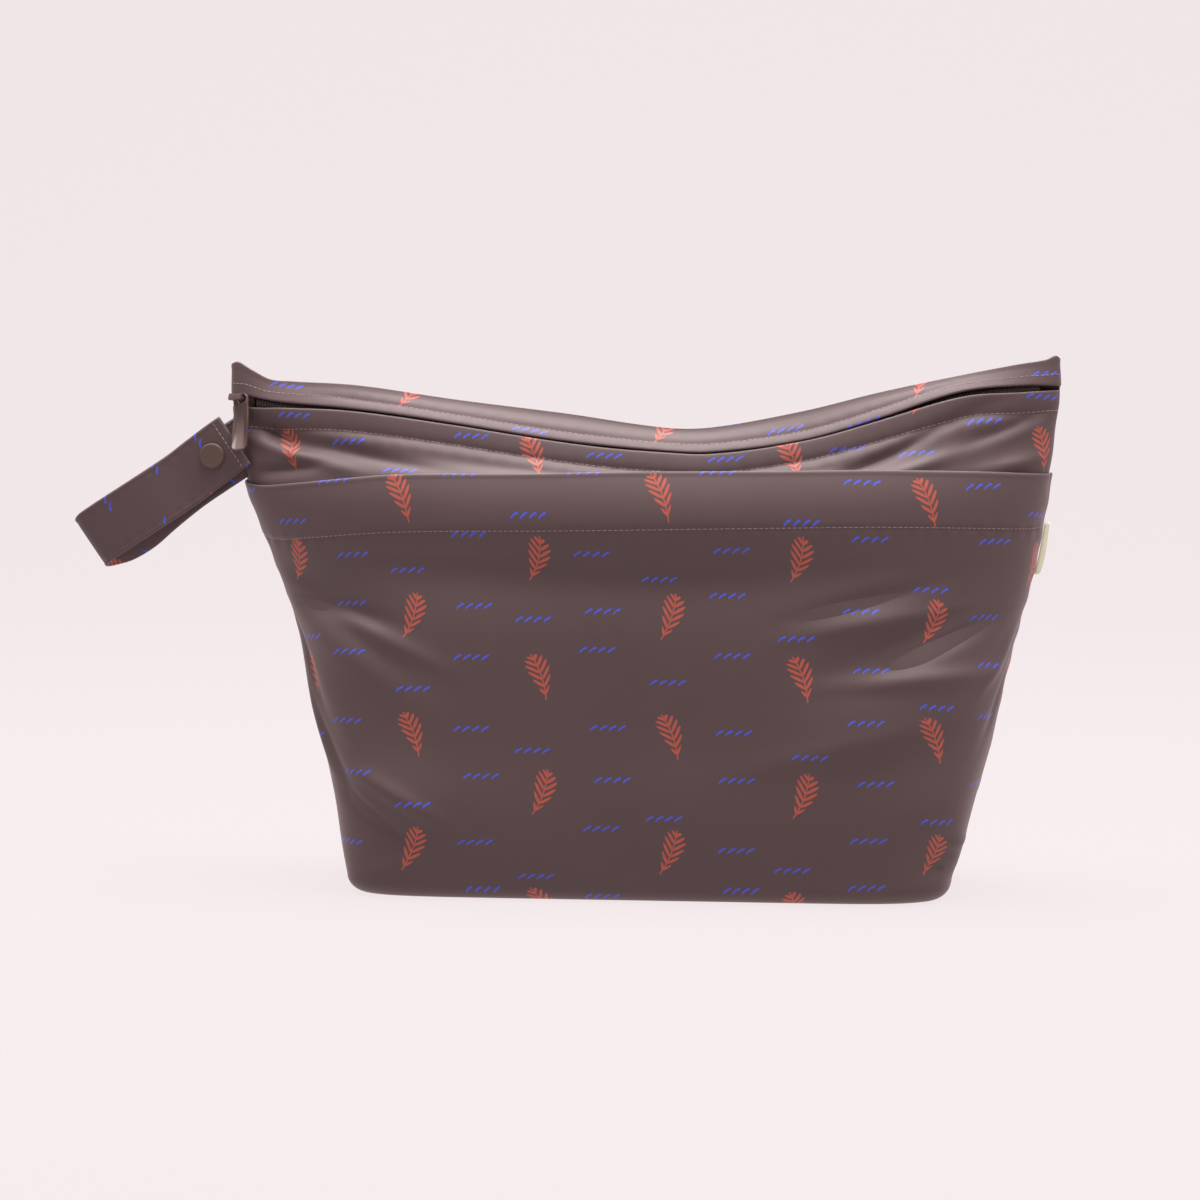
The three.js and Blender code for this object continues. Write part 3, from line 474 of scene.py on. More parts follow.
# Finer folds of the pocket
POCKET_FOLDS = table(
    "place rise run width lean depth",
    (-0.66, 0.500, 0.16, 0.022, -24, 0.022),
    (-0.76, 0.535, 0.13, 0.022, -10, -0.026),
    (-0.88, 0.450, 0.12, 0.020, -58, -0.016),
    (-0.86, 0.330, 0.12, 0.016, -64, 0.012),
    (-0.78, 0.260, 0.12, 0.018, -55, -0.012),
    (-0.60, 0.195, 0.13, 0.020, -28, 0.016),
    (-0.68, 0.160, 0.12, 0.018, -30, -0.012),
    (-0.62, 0.060, 0.14, 0.020, 25, 0.010),
    (0.52, 0.560, 0.16, 0.022, 14, -0.018),
    (0.56, 0.525, 0.16, 0.018, 10, 0.016),
    (0.70, 0.480, 0.14, 0.020, 24, -0.022),
    (0.64, 0.415, 0.18, 0.020, 4, 0.018),
    (0.50, 0.300, 0.24, 0.030, 14, 0.012),
    (0.86, 0.450, 0.10, 0.018, 50, 0.014),
    (0.90, 0.380, 0.10, 0.016, 55, -0.012),
    (0.78, 0.115, 0.06, 0.016, 0, 0.012),
    (0.76, 0.060, 0.07, 0.018, -12, -0.020),
    (-0.10, 0.640, 0.60, 0.016, 0, 0.006),
)


def front_relief(place, rise, below, u, v):
    """Relief of the front wall. below is the distance from the slit's edge."""
    ends = np.clip((0.99 - np.abs(place)) / 0.14, 0, 1)
    ends = ends * ends * (3 - 2 * ends)
    stitch = STITCH_BELOW_SLIT
    stand = 0.7 * np.exp(-((below / 5.0) ** 2)) - 0.8 * bump(below, stitch, 2.6)
    pucker = np.sin(2 * math.pi * u / 9.5 + 2.0 * np.sin(u / 23)) * 0.16
    seam = -0.35 * bump(below, stitch, 0.9) + pucker * bump(below, stitch + 1.5, 4.5)
    swell = 0.6 * bump(below, stitch + 5, 4.0)
    folds = FINE_FOLDS * folds_at(UPPER_FOLDS, place, rise)
    return ends * (stand + swell) + seam + folds + 0.35 * waves(u, v, 11, 120, 45)


def pocket_relief(place, rise, below, u, v):
    """Relief of the pocket. below is the distance from the pocket's edge."""
    stitch = STITCH_BELOW_POCKET_EDGE
    hem = 0.45 / (1 + np.exp((below - stitch) / 0.7))
    pucker = np.sin(2 * math.pi * u / 8.5 + 1.7 * np.sin(u / 19)) * 0.16
    seam = -0.45 * bump(below, stitch, 0.9) + pucker * bump(below, stitch + 1.0, 4.0)
    roll = 0.25 * bump(below, 1.2, 1.1)
    folds = FINE_FOLDS * folds_at(POCKET_FOLDS, place, rise)
    return hem + seam + roll + folds + 0.45 * waves(u, v, 23, 150, 50)


def pocket_edge(place):
    """Rise of the pocket's edge, which droops a little to the left."""
    return POCKET_RISE * (1 - smooth_at(POCKET_LINE, "place", "drop", place))


def pocket_gape(place, rise):
    """How far the pocket stands off the front wall behind it."""
    near = np.maximum(0, 1 - (pocket_edge(place) - rise) * BAG_HEIGHT / GAPE_REACH)
    bow = np.maximum(0, 1 - (place / 0.97) ** 4)
    return PLY + POCKET_GAPE * bow * near * near * (3 - 2 * near)


def rows_below(edge_rise, stretch, low_rise, count):
    """Rises of rows from low_rise up to an edge, with fine rows beside the edge."""
    fine = edge_rise - EDGE_ROWS[::-1, None] / stretch
    share = np.linspace(0, 1, count, endpoint=False)[:, None]
    coarse = low_rise + (fine[:1] - low_rise) * share
    near = np.broadcast_to(EDGE_ROWS[::-1, None], fine.shape)
    below = np.concatenate([(edge_rise - coarse) * stretch, near])
    return np.concatenate([coarse, fine]), below


def front_wall(name, slack, edge_rise, stretch, gape, relief, count):
    """A front wall of the bag with its half of the base. Returns the piece and its outer grid."""
    rises, below = rows_below(edge_rise, stretch, BOTTOM_RADIUS / BAG_HEIGHT, count)
    wall = wall_point("front", PLACES[None, :], rises, slack)
    radius = BOTTOM_RADIUS - HALF_CLOTH - PLY
    base = bottom_points("front", PLACES, radius)
    points = np.concatenate([base, wall])
    normals = normals_of(points, 1)
    place = np.broadcast_to(PLACES, points.shape[:2])
    rise = np.concatenate([np.full(base.shape[:2], BOTTOM_RADIUS / BAG_HEIGHT), rises])
    far = np.concatenate([np.full(base.shape[:2], BAG_HEIGHT), below])
    on_wall = above_base(rise)
    uv = print_places("front", place, rise, points, len(base))
    push = relief(place, rise, far, uv[..., 0], uv[..., 1]) * on_wall
    lengths = np.interp(rise, SECTION_RISES, SECTION_GRIDS["front"][2])
    push = push * clear_of_seams(place, 14) + seam_groove(place, rise, lengths) * on_wall
    points = points + normals * (gape(place, rise) + push)[..., None]
    normals = normals_of(points, 1)
    half = (HALF_CLOTH * round_edge(far))[..., None]
    outer = points + normals * half
    piece = shell(name, outer, points - normals * half, uv, 1)
    return piece, outer, normals, far


def stretch_at(place, rise, step, slack=True):
    """Length along the front cloth for one whole unit of rise."""
    low = wall_point("front", place, rise + step, slack)
    return np.linalg.norm(low - wall_point("front", place, rise, slack), axis=-1) / abs(step)


lip_rise = rise_from_slit(PLACES, -half_opening(PLACES))
front_cloth, front_outer, front_normals, front_far = front_wall(
    "front_cloth", True, lip_rise, stretch_at(PLACES, SLIT_RISE, -0.04),
    lambda place, rise: 0 * rise, front_relief, 84,
)
pocket_cloth, pocket_outer, pocket_normals, pocket_far = front_wall(
    "pocket_cloth", False, pocket_edge(PLACES), stretch_at(PLACES, POCKET_RISE, -0.04, False),
    pocket_gape, pocket_relief, 84,
)


def back_relief(place, rise, u, v):
    """Soft folds of the back, and the gathers that the front's folds have there."""
    folds = folds_at(BACK_FOLDS, place, rise)
    return folds + 0.8 * waves(u, v, 37, 190, 70)


BACK_FOLDS = table(
    "place rise run width lean depth",
    (-0.70, 0.52, 0.24, 0.05, -28, 0.024),
    (-0.62, 0.40, 0.24, 0.06, -18, -0.022),
    (0.68, 0.55, 0.24, 0.05, 30, -0.026),
    (0.60, 0.42, 0.26, 0.06, 22, 0.022),
    (-0.30, 0.75, 0.50, 0.06, 4, -0.016),
    (0.35, 0.74, 0.50, 0.06, -5, -0.014),
    (0.00, 0.25, 0.60, 0.16, 0, -0.018),
    (-0.72, 0.12, 0.16, 0.05, 30, -0.018),
    (0.74, 0.14, 0.14, 0.05, -28, -0.018),
)


def band_relief(above, place, u, v):
    """Relief of the band, flat at its ends where the pull swings. above counts from the slit's edge."""
    ends = np.clip((0.78 - np.abs(place)) / 0.12, 0, 1)
    pucker = np.sin(2 * math.pi * u / 9.0 + 1.6 * np.sin(u / 21)) * 0.14
    ridge = 0.3 * bump(above, 1.8, 2.0) + 0.3 * bump(above, 9.5, 3.0)
    ridge = ridge - 0.4 * bump(above, STITCH_ABOVE_SLIT, 1.0)
    ripple = pucker * bump(above, STITCH_ABOVE_SLIT + 1, 4.0) + 0.15 * waves(u, v, 5, 90, 40)
    return ends * (ridge + ripple)


def back_wall():
    """The back with the band that is folded over the top edge. Returns the piece and the band's grid."""
    band_rise = rise_from_slit(PLACES, half_opening(PLACES))
    stretch = stretch_at(PLACES, SLIT_RISE, 0.06)
    above = EDGE_ROWS[EDGE_ROWS < 9]
    fit = np.minimum(1, 0.8 * (0.99 - band_rise) * stretch / above[-1])
    low = band_rise + above[:, None] * fit / stretch
    share = np.linspace(0, 1, 13)[1:-1, None]
    high = low[-1:] + (0.99 - low[-1:]) * share
    band_rises = np.concatenate([low, high])
    band = wall_point("front", PLACES[None, :], band_rises)
    top = wall_point("front", PLACES, 1.0)
    place = np.broadcast_to(PLACES, band.shape[:2])
    far = (band_rises - band_rise) * stretch
    length = np.interp(1.0, SECTION_RISES, SECTION_GRIDS["front"][2])
    u = place * length / 2
    fade = np.clip((0.985 - band_rises) / 0.02, 0, 1)
    normals = normals_of(band, 1)
    band = band + normals * (band_relief(far, place, u, far) * fade)[..., None]
    band_normals = normals_of(band, 1)
    half = (HALF_CLOTH * round_edge(far))[..., None]
    band_outer, band_inner = band + band_normals * half, band - band_normals * half

    down = np.concatenate([
        np.linspace(0.985, SLIT_RISE, 14, endpoint=False),
        np.linspace(SLIT_RISE, BOTTOM_RADIUS / BAG_HEIGHT, 88),
    ])
    wall = wall_point("back", PLACES[None, :], down[:, None])
    base = bottom_points("back", PLACES, BOTTOM_RADIUS - HALF_CLOTH)[::-1]
    back = np.concatenate([wall, base])
    rise = np.concatenate([
        np.broadcast_to(down[:, None], wall.shape[:2]),
        np.full(base.shape[:2], down[-1]),
    ])
    place = np.broadcast_to(PLACES, back.shape[:2])
    on_wall = above_base(rise) * np.clip((0.98 - rise) / 0.06, 0, 1)
    back_normals = normals_of(back, 1)
    uv_back = print_places("back", place, rise, back, 0)
    lengths = np.interp(rise, SECTION_RISES, SECTION_GRIDS["back"][2])
    push = back_relief(place, rise, uv_back[..., 0], uv_back[..., 1]) * clear_of_seams(place, 14)
    push = push + seam_groove(place, rise, lengths)
    back = back + back_normals * (push * on_wall)[..., None]
    back_normals = normals_of(back, 1)
    back_outer, back_inner = back + back_normals * HALF_CLOTH, back - back_normals * HALF_CLOTH

    start, end = band_normals[-1], back_normals[0]
    upward = top - band[-1]
    upward = upward - start * np.sum(upward * start, axis=-1, keepdims=True)
    upward /= np.linalg.norm(upward, axis=-1, keepdims=True)
    swing = np.arctan2(np.sum(end * upward, axis=-1), np.sum(end * start, axis=-1))[:, None]
    swing = np.where(swing < 0, swing + 2 * math.pi, swing)
    arc = []
    for share in np.linspace(0, 1, 10)[1:-1]:
        radius = HALF_CLOTH + (HEM_RADIUS - HALF_CLOTH) * math.sin(math.pi * share) ** 0.5
        arc.append(top + radius * (np.cos(swing * share) * start + np.sin(swing * share) * upward))
    arc = np.array(arc)
    arc_inner = np.broadcast_to(top, arc.shape)
    outer = np.concatenate([band_outer, arc, back_outer])
    inner = np.concatenate([band_inner, arc_inner, back_inner])
    step = np.linalg.norm(np.diff(outer, axis=0), axis=-1)
    v = np.concatenate([np.zeros((1, len(PLACES))), np.cumsum(step, axis=0)])
    u = np.concatenate([np.broadcast_to(u[:1], (len(band) + len(arc), len(PLACES))), uv_back[..., 0]])
    piece = shell("back_cloth", outer, inner, np.stack([u, v], axis=-1), 1)
    return piece, band_outer, band_normals, far


back_cloth, band_outer, band_normals, band_far = back_wall()


def capsules(name, centres, along, outward, length, radius, flatness=1.0, sides=6):
    """Many small round-ended rods, each at a centre and lying along a direction."""
    across = np.cross(along, outward)
    turn = 2 * np.pi * np.arange(sides) / sides
    stations = [(-0.5, 0.35), (-0.42, 0.85), (-0.2, 1.0), (0.2, 1.0), (0.42, 0.85), (0.5, 0.35)]
    rings = []
    for at, size in stations:
        for angle in turn:
            offset = along * (at * length) + across * (math.cos(angle) * radius * size)
            rings.append(centres + offset + outward * (math.sin(angle) * radius * size * flatness))
    points = np.stack(rings, axis=1)
    count = points.shape[1]
    body = grid_faces(len(stations), sides, closed=True)
    caps = [list(range(sides))[::-1], list(range(count - sides, count))]
    faces = []
    for k in range(len(centres)):
        faces += (body + k * count).tolist()
        faces += [[corner + k * count for corner in cap] for cap in caps]
    mesh = bpy.data.meshes.new(name)
    mesh.from_pydata((points.reshape(-1, 3) * MM).tolist(), [], faces)
    smooth(mesh)
    mesh.update()
    return linked(name, mesh)


def unit(vectors):
    return vectors / np.maximum(np.linalg.norm(vectors, axis=-1, keepdims=True), 1e-9)


def along_line(line, normals, pitch, margin=0.0):
    """Evenly spaced points on a line, with the line's direction and the outward one at each."""
    length = np.concatenate([[0], np.cumsum(np.linalg.norm(np.diff(line, axis=0), axis=-1))])
    at = np.arange(margin + pitch / 2, length[-1] - margin, pitch)
    points = np.stack([np.interp(at, length, line[:, k]) for k in range(3)], axis=-1)
    outward = np.stack([np.interp(at, length, normals[:, k]) for k in range(3)], axis=-1)
    step = np.gradient(line, axis=0)
    along = unit(np.stack([np.interp(at, length, step[:, k]) for k in range(3)], axis=-1))
    outward = unit(outward - along * np.sum(outward * along, axis=-1, keepdims=True))
    return points, along, outward


def stitches(name, line, normals, margin=3.0):
    points, along, outward = along_line(line, normals, STITCH_PITCH, margin)
    return capsules(name, points - outward * 0.02, along, outward, STITCH_LENGTH, THREAD_RADIUS)


def row_at(far, distance):
    """Index of the grid row at a distance from the edge."""
    return int(np.argmin(np.abs(far[:, COLUMNS // 2] - distance)))


row = row_at(front_far, STITCH_BELOW_SLIT - 0.5)
lip_stitches = stitches("lip_stitches", front_outer[row], front_normals[row])
row = row_at(pocket_far, STITCH_BELOW_POCKET_EDGE - 0.5)
pocket_stitches = stitches("pocket_stitches", pocket_outer[row], pocket_normals[row])
row = row_at(band_far, STITCH_ABOVE_SLIT)
band_stitches = stitches("band_stitches", band_outer[row], band_normals[row])


def zip_frames(places):
    """Middle of the zip's ribbon behind the slit, its way up and its way out."""
    tape_end = COIL_WIDTH / 2 + GAP + TAPE_WIDTH
    low = wall_point("front", places, rise_from_slit(places, -tape_end))
    high = wall_point("front", places, rise_from_slit(places, tape_end))
    middle = wall_point("front", places, SLIT_RISE)
    along = wall_point("front", places + 0.02, SLIT_RISE) - wall_point("front", places - 0.02, SLIT_RISE)
    upward = unit(high - low)
    outward = unit(np.cross(along, upward))
    chord = (low + high) / 2
    hollow = np.minimum(0, np.sum((middle - chord) * outward, axis=-1, keepdims=True))
    return chord + outward * hollow, upward, outward


def zip_teeth():
    """The two meshed coils as rows of small rods, on a thin core."""
    places = np.linspace(ZIP_FROM_LEFT / HALF_MOUTH - 1, 1 - ZIP_FROM_RIGHT / HALF_MOUTH, 400)
    middle, upward, outward = zip_frames(places)
    depth = HALF_CLOTH + ZIP_CLEARANCE + COIL_THICKNESS / 2
    line = middle - outward * depth
    points, along, out = along_line(line, outward, TOOTH_PITCH)
    across = np.cross(out, along)
    side = np.where(np.arange(len(points)) % 2 == 0, 1, -1)[:, None]
    centres = points + across * side * COIL_WIDTH * 0.17
    flatness = COIL_THICKNESS / 0.9
    teeth = capsules("zip_teeth", centres, across, out, COIL_WIDTH * 0.62, TOOTH_RADIUS, flatness)
    half = COIL_WIDTH * 0.44
    grid = np.array([line - upward * half, line, line + upward * half])
    uv = np.stack([np.broadcast_to(places * HALF_MOUTH, grid.shape[:2]), grid[..., 2]], axis=-1)
    core = shell("zip_core", grid - outward * 0.1, grid - outward * 0.6, uv, 1)
    return teeth, core


zip_teeth_piece, zip_core = zip_teeth()


def frame_at_slider():
    """Axes of the pull: along the cloth, inward and up at its lean, and the slider's place."""
    ahead = SLIDER_PLACE + 2 * PULL_LENGTH / MOUTH_WIDTH
    place, end = (wall_point("front", np.array(at), SLIT_RISE) for at in (SLIDER_PLACE, ahead))
    along = end - place
    along[2] = 0
    along = Vector(unit(along))
    lean = Matrix.Rotation(-math.radians(PULL_LEAN), 3, along)
    up = Vector((0, 0, 1))
    return along, lean @ up.cross(along).normalized(), lean @ up, Vector(place)


def zip_pull():
    """The pull: a flat tab with a round eye, a raised rim and soft edges."""
    along, inward, up, place = frame_at_slider()
    eye, half, corner = PULL_TOP_WIDTH / 2, PULL_WIDTH / 2, PULL_CORNER
    end = eye - PULL_LENGTH
    outline = [(eye * math.cos(a), eye * math.sin(a)) for a in np.linspace(0, math.pi, 25)]
    for k in np.linspace(0, 1, 17)[1:]:
        width = eye + (half - eye) * (3 * k * k - 2 * k ** 3)
        outline.append((-width, -PULL_LENGTH / 3 * k))
    for a in np.linspace(math.pi, 1.5 * math.pi, 9):
        outline.append((-half + corner + corner * math.cos(a), end + corner + corner * math.sin(a)))
    left = [p for p in outline if p[0] < -0.01 and p[1] < 0]
    outline += [(-x, z) for x, z in reversed(left)]
    outline = np.array(outline)
    steps = np.linalg.norm(np.diff(np.vstack([outline, outline[:1]]), axis=0), axis=1)
    length = np.concatenate([[0], np.cumsum(steps)])
    at = np.linspace(0, length[-1], 121)[:-1]
    closed = np.vstack([outline, outline[:1]])
    outline = np.stack([np.interp(at, length, closed[:, 0]), np.interp(at, length, closed[:, 1])], axis=1)
    angle = np.arctan2(outline[:, 1], outline[:, 0])
    hole = np.stack([np.cos(angle), np.sin(angle)], axis=1) * EYE_DIAMETER / 2
    span = np.linalg.norm(outline - hole, axis=1, keepdims=True)
    angle = math.radians(PULL_TILT)
    tilt = np.array([[math.cos(angle), math.sin(angle)], [-math.sin(angle), math.cos(angle)]])
    h = PULL_THICKNESS / 2
    sunk = PULL_SUNK
    # Each row: distance in from the hole's edge or, when negative, from the outline, and height
    profile = [
        (0.0, -h + 0.25), (0.0, h - 0.25), (0.08, h - 0.08), (0.25, h), (0.8, h), (1.0, h - sunk),
        (-1.35, h - sunk), (-1.15, h), (-0.25, h), (-0.08, h - 0.08), (-0.001, h - 0.25),
        (-0.001, -h + 0.25), (-0.08, -h + 0.08), (-0.25, -h), (0.25, -h), (0.08, -h + 0.08),
    ]
    points = []
    for inset, height in profile:
        share = np.minimum(abs(inset) / span, 0.45)
        ring = hole + (outline - hole) * (share if inset >= 0 else 1 - share)
        for x, z in ring @ tilt:
            spot = place + along * (FOOT_FROM_MIDDLE + x) + up * z
            depth = -(HALF_CLOTH + PULL_CLEARANCE + PULL_THICKNESS / 2) - height
            points.append(spot + inward * depth)
    faces = grid_faces(len(profile), len(outline), closed=True)
    first = np.arange(len(outline))
    following = (first + 1) % len(outline)
    last_row = (len(profile) - 1) * len(outline)
    wrap = np.stack([last_row + first, last_row + following, following, first], axis=-1)
    return mesh_object("zip_pull_tab", points, np.concatenate([faces, wrap]))


pull_tab = zip_pull()


def softened(name, node, width, segments=2):
    """The node's own shape with its sharp edges rounded."""
    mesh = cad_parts[node].data.copy()
    mesh.name = name
    piece = linked(name, mesh)
    weld = piece.modifiers.new("weld", "WELD")
    weld.merge_threshold = 0.02 * MM
    bevel = piece.modifiers.new("round", "BEVEL")
    bevel.width = width * MM
    bevel.segments = segments
    bevel.limit_method = "ANGLE"
    bevel.angle_limit = math.radians(35)
    bevel.use_clamp_overlap = True
    smooth(mesh)
    return piece


slider_body = softened("slider_body", "zip_slider", 0.3)

# The strap's path from its free end, over the fold and back to the seam
STRAP_PATH = table(
    "along across drop",
    (0.00, 0.00, 0.00),
    (0.08, 0.00, 0.00),
    (0.24, 0.00, 0.02),
    (0.36, -0.02, 0.04),
    (0.60, -0.22, 0.03),
    (0.88, -0.05, 0.00),
    (0.97, 0.15, 0.00),
    (1.00, 0.60, 0.03),
    (0.97, 1.02, 0.08),
    (0.88, 1.28, 0.17),
    (0.74, 1.38, 0.20),
    (0.58, 1.26, 0.15),
    (0.38, 1.00, 0.11),
    (0.24, 1.00, 0.11),
    (0.09, 1.00, 0.12),
    (0.07, 1.02, 0.12),
    (0.02, 1.40, 0.12),
    (-0.06, 2.00, 0.12),
)
SNAP_STACK = STRAP_THICKNESS + 2 * SNAP_BUTTON_THICKNESS + 3 * GAP
STRAP_ANGLE = math.radians(STRAP_SLOPE)
STRAP_ALONG = np.array([-math.cos(STRAP_ANGLE), 0, -math.sin(STRAP_ANGLE)])
STRAP_DOWN = np.array([math.sin(STRAP_ANGLE), 0, -math.cos(STRAP_ANGLE)])
STRAP_END = np.array([
    -HALF_MOUTH - STRAP_OUT_OF_MOUTH, SEAM_Y - STRAP_BEFORE_SEAM, BAG_HEIGHT - STRAP_BELOW_EDGE,
])


def between(t, start, end, first, second):
    """The point between two at t, where start and end are their places."""
    return (end - t) / (end - start) * first + (t - start) / (end - start) * second


def catmull_rom(points, count):
    """Evenly spaced points on a centripetal curve through the given ones."""
    points = np.vstack([2 * points[0] - points[1], points, 2 * points[-1] - points[-2]])
    curve = []
    for k in range(1, len(points) - 2):
        near = points[k - 1:k + 3]
        knots = np.concatenate([[0], np.cumsum(np.linalg.norm(np.diff(near, axis=0), axis=-1) ** 0.5)])
        for t in np.linspace(knots[1], knots[2], 24, endpoint=False):
            mixed_points = near
            for reach, low in ((1, 0), (2, 0), (1, 1)):
                mixed_points = [
                    between(t, knots[low + n], knots[low + n + reach], *mixed_points[n:n + 2])
                    for n in range(len(mixed_points) - 1)
                ]
            curve.append(mixed_points[0])
    curve.append(points[-2])
    curve = np.array(curve)
    length = np.concatenate([[0], np.cumsum(np.linalg.norm(np.diff(curve, axis=0), axis=-1))])
    at = np.linspace(0, length[-1], count)
    return np.stack([np.interp(at, length, curve[:, k]) for k in range(3)], axis=-1), at


def strap_line():
    offsets = [
        STRAP_END + along * STRAP_REACH * STRAP_ALONG + drop * STRAP_WIDTH * STRAP_DOWN
        + np.array([0, across * SNAP_STACK, 0])
        for along, across, drop in zip(STRAP_PATH["along"], STRAP_PATH["across"], STRAP_PATH["drop"])
    ]
    return catmull_rom(np.array(offsets), 260)


def handle_strap():
    """The strap as a band with rolled edges, and the stitch line across its free end."""
    line, at = strap_line()
    tangent = unit(np.gradient(line, axis=0))
    normal = unit(np.cross(tangent, STRAP_DOWN[None, :]))
    half, thick = STRAP_WIDTH / 2, STRAP_THICKNESS / 2
    inside = np.linspace(-1, 1, 33)
    across = np.sign(inside) * (1 - (1 - np.abs(inside)) ** 1.35) * half
    from_edge = half - np.abs(across)
    relief = 0.16 * bump(from_edge, 1.0, 0.9) - 0.12 * bump(from_edge, 2.4, 0.6)
    height = thick * round_edge(from_edge, 0.9) + relief * np.clip(from_edge, 0, 1)
    ripple = 0.10 * np.sin(2 * math.pi * at / 7.5)[:, None] * bump(from_edge, 3.2, 1.8)[None, :]
    ends = round_edge(np.minimum(at, at[-1] - at), 0.9)[:, None]
    middle = line[:, None] + STRAP_DOWN * across[None, :, None]
    stand = normal[:, None] * ((height + ripple) * ends)[..., None]
    outer, inner = middle + stand, middle - stand
    uv = np.stack(np.broadcast_arrays(across[None, :] + 300, at[:, None] + 9), axis=-1)
    band = shell("strap_cloth", outer, inner, uv, 1)
    lines = []
    for grid, outward in ((outer, normal), (inner, -normal)):
        k = int(np.argmin(np.abs(at - STITCH_BEFORE_END)))
        facing = np.broadcast_to(outward[k], grid[k].shape)
        lines.append(along_line(grid[k], facing, STITCH_PITCH, 1.5))
    points, along, outward = (np.concatenate(part) for part in zip(*lines))
    thread = capsules("strap_stitches", points, along, outward, STITCH_LENGTH, THREAD_RADIUS)
    return band, thread


strap_cloth, strap_stitches = handle_strap()


def snap_disc(name, profile, depth, facing, steps=56):
    """A turned disc of the snap, facing forward or back."""
    seat = STRAP_END + SNAP_FROM_END * STRAP_ALONG
    turn = 2 * np.pi * np.arange(steps) / steps
    points = []
    for radius, height in profile:
        for angle in turn:
            points.append(seat + np.array([
                radius * math.cos(angle), depth + facing * height, facing * radius * math.sin(angle),
            ]))
    faces = grid_faces(len(profile), steps, closed=True)[:, ::-1]
    return mesh_object(name, points, faces)


CAP = SNAP_DIAMETER / 2
BUTTON = SNAP_BUTTON_DIAMETER / 2
LAYER_FACE = STRAP_THICKNESS / 2 + GAP
NUB = BUTTON * 0.42
NUB_HEIGHT = SNAP_BUTTON_THICKNESS * 0.5
# Profiles of the snap's turned parts: radius and height of each ring
CAP_PROFILE = [
    (0.01, 0), (CAP * 0.97, 0), (CAP, 0.12), (CAP, SNAP_CAP_THICKNESS * 0.45),
    (CAP * 0.985, SNAP_CAP_THICKNESS * 0.66), (CAP * 0.95, SNAP_CAP_THICKNESS * 0.84),
    (CAP * 0.89, SNAP_CAP_THICKNESS * 0.96), (CAP * 0.82, SNAP_CAP_THICKNESS),
    (CAP * 0.74, SNAP_CAP_THICKNESS * 0.97), (CAP * 0.62, SNAP_CAP_THICKNESS * 0.93),
    (CAP * 0.3, SNAP_CAP_THICKNESS * 0.92), (0.01, SNAP_CAP_THICKNESS * 0.92),
]
BUTTON_SIDE = [
    (0.01, 0), (BUTTON * 0.96, 0), (BUTTON, 0.2), (BUTTON, SNAP_BUTTON_THICKNESS - 0.2),
    (BUTTON * 0.96, SNAP_BUTTON_THICKNESS),
]
HOLLOW = SNAP_BUTTON_THICKNESS - NUB_HEIGHT - GAP
NUB_END = SNAP_BUTTON_THICKNESS + NUB_HEIGHT
SOCKET_PROFILE = BUTTON_SIDE + [(NUB + GAP, SNAP_BUTTON_THICKNESS), (NUB + GAP, HOLLOW), (0.01, HOLLOW)]
STUD_PROFILE = BUTTON_SIDE + [
    (NUB, SNAP_BUTTON_THICKNESS), (NUB, NUB_END - 0.2), (NUB * 0.9, NUB_END), (0.01, NUB_END),
]
snap_pieces = {
    "snap_cap_front": snap_disc("cap_front", CAP_PROFILE, -LAYER_FACE, -1),
    "snap_socket": snap_disc("socket", SOCKET_PROFILE, LAYER_FACE, 1),
    "snap_stud": snap_disc("stud", STUD_PROFILE, SNAP_STACK - LAYER_FACE, -1),
    "snap_cap_back": snap_disc("cap_back", CAP_PROFILE, SNAP_STACK + LAYER_FACE, 1),
}


def side_tag():
    """The label folded into the right seam, leaving the seam outward and bending to the back."""
    stand = HALF_CLOTH + PLY + GAP
    bend = TAG_STAND
    share = np.linspace(0, 1, 22)
    heights = np.linspace(TAG_RISE - TAG_HEIGHT / 2, TAG_RISE + TAG_HEIGHT / 2, 24)
    seam = HALF_MOUTH * smooth_at(SECTIONS, "rise", "right", heights / BAG_HEIGHT)
    x = seam[:, None] + stand + bend * np.sin(share * math.pi / 2)[None, :]
    y = np.broadcast_to(SEAM_Y + (TAG_LENGTH - bend) * share ** 2, x.shape)
    curl = 0.35 * np.sin((heights - heights[0]) / TAG_HEIGHT * math.pi * 1.4)[:, None] * share[None, :]
    points = np.stack([x + curl, y, np.broadcast_to(heights[:, None], x.shape)], axis=-1)
    normals = normals_of(points, 1)
    from_fold = (1 - share) * TAG_LENGTH
    from_end = np.minimum(heights - heights[0], heights[-1] - heights)
    half = TAG_HALF_THICKNESS * round_edge(from_fold, 0.7)[None, :] * round_edge(from_end, 0.3)[:, None]
    uv = np.stack(np.broadcast_arrays(share[None, :] * TAG_LENGTH, heights[:, None]), axis=-1)
    return shell("tag_cloth", points + normals * half[..., None], points - normals * half[..., None], uv, 1)


tag_cloth = side_tag()


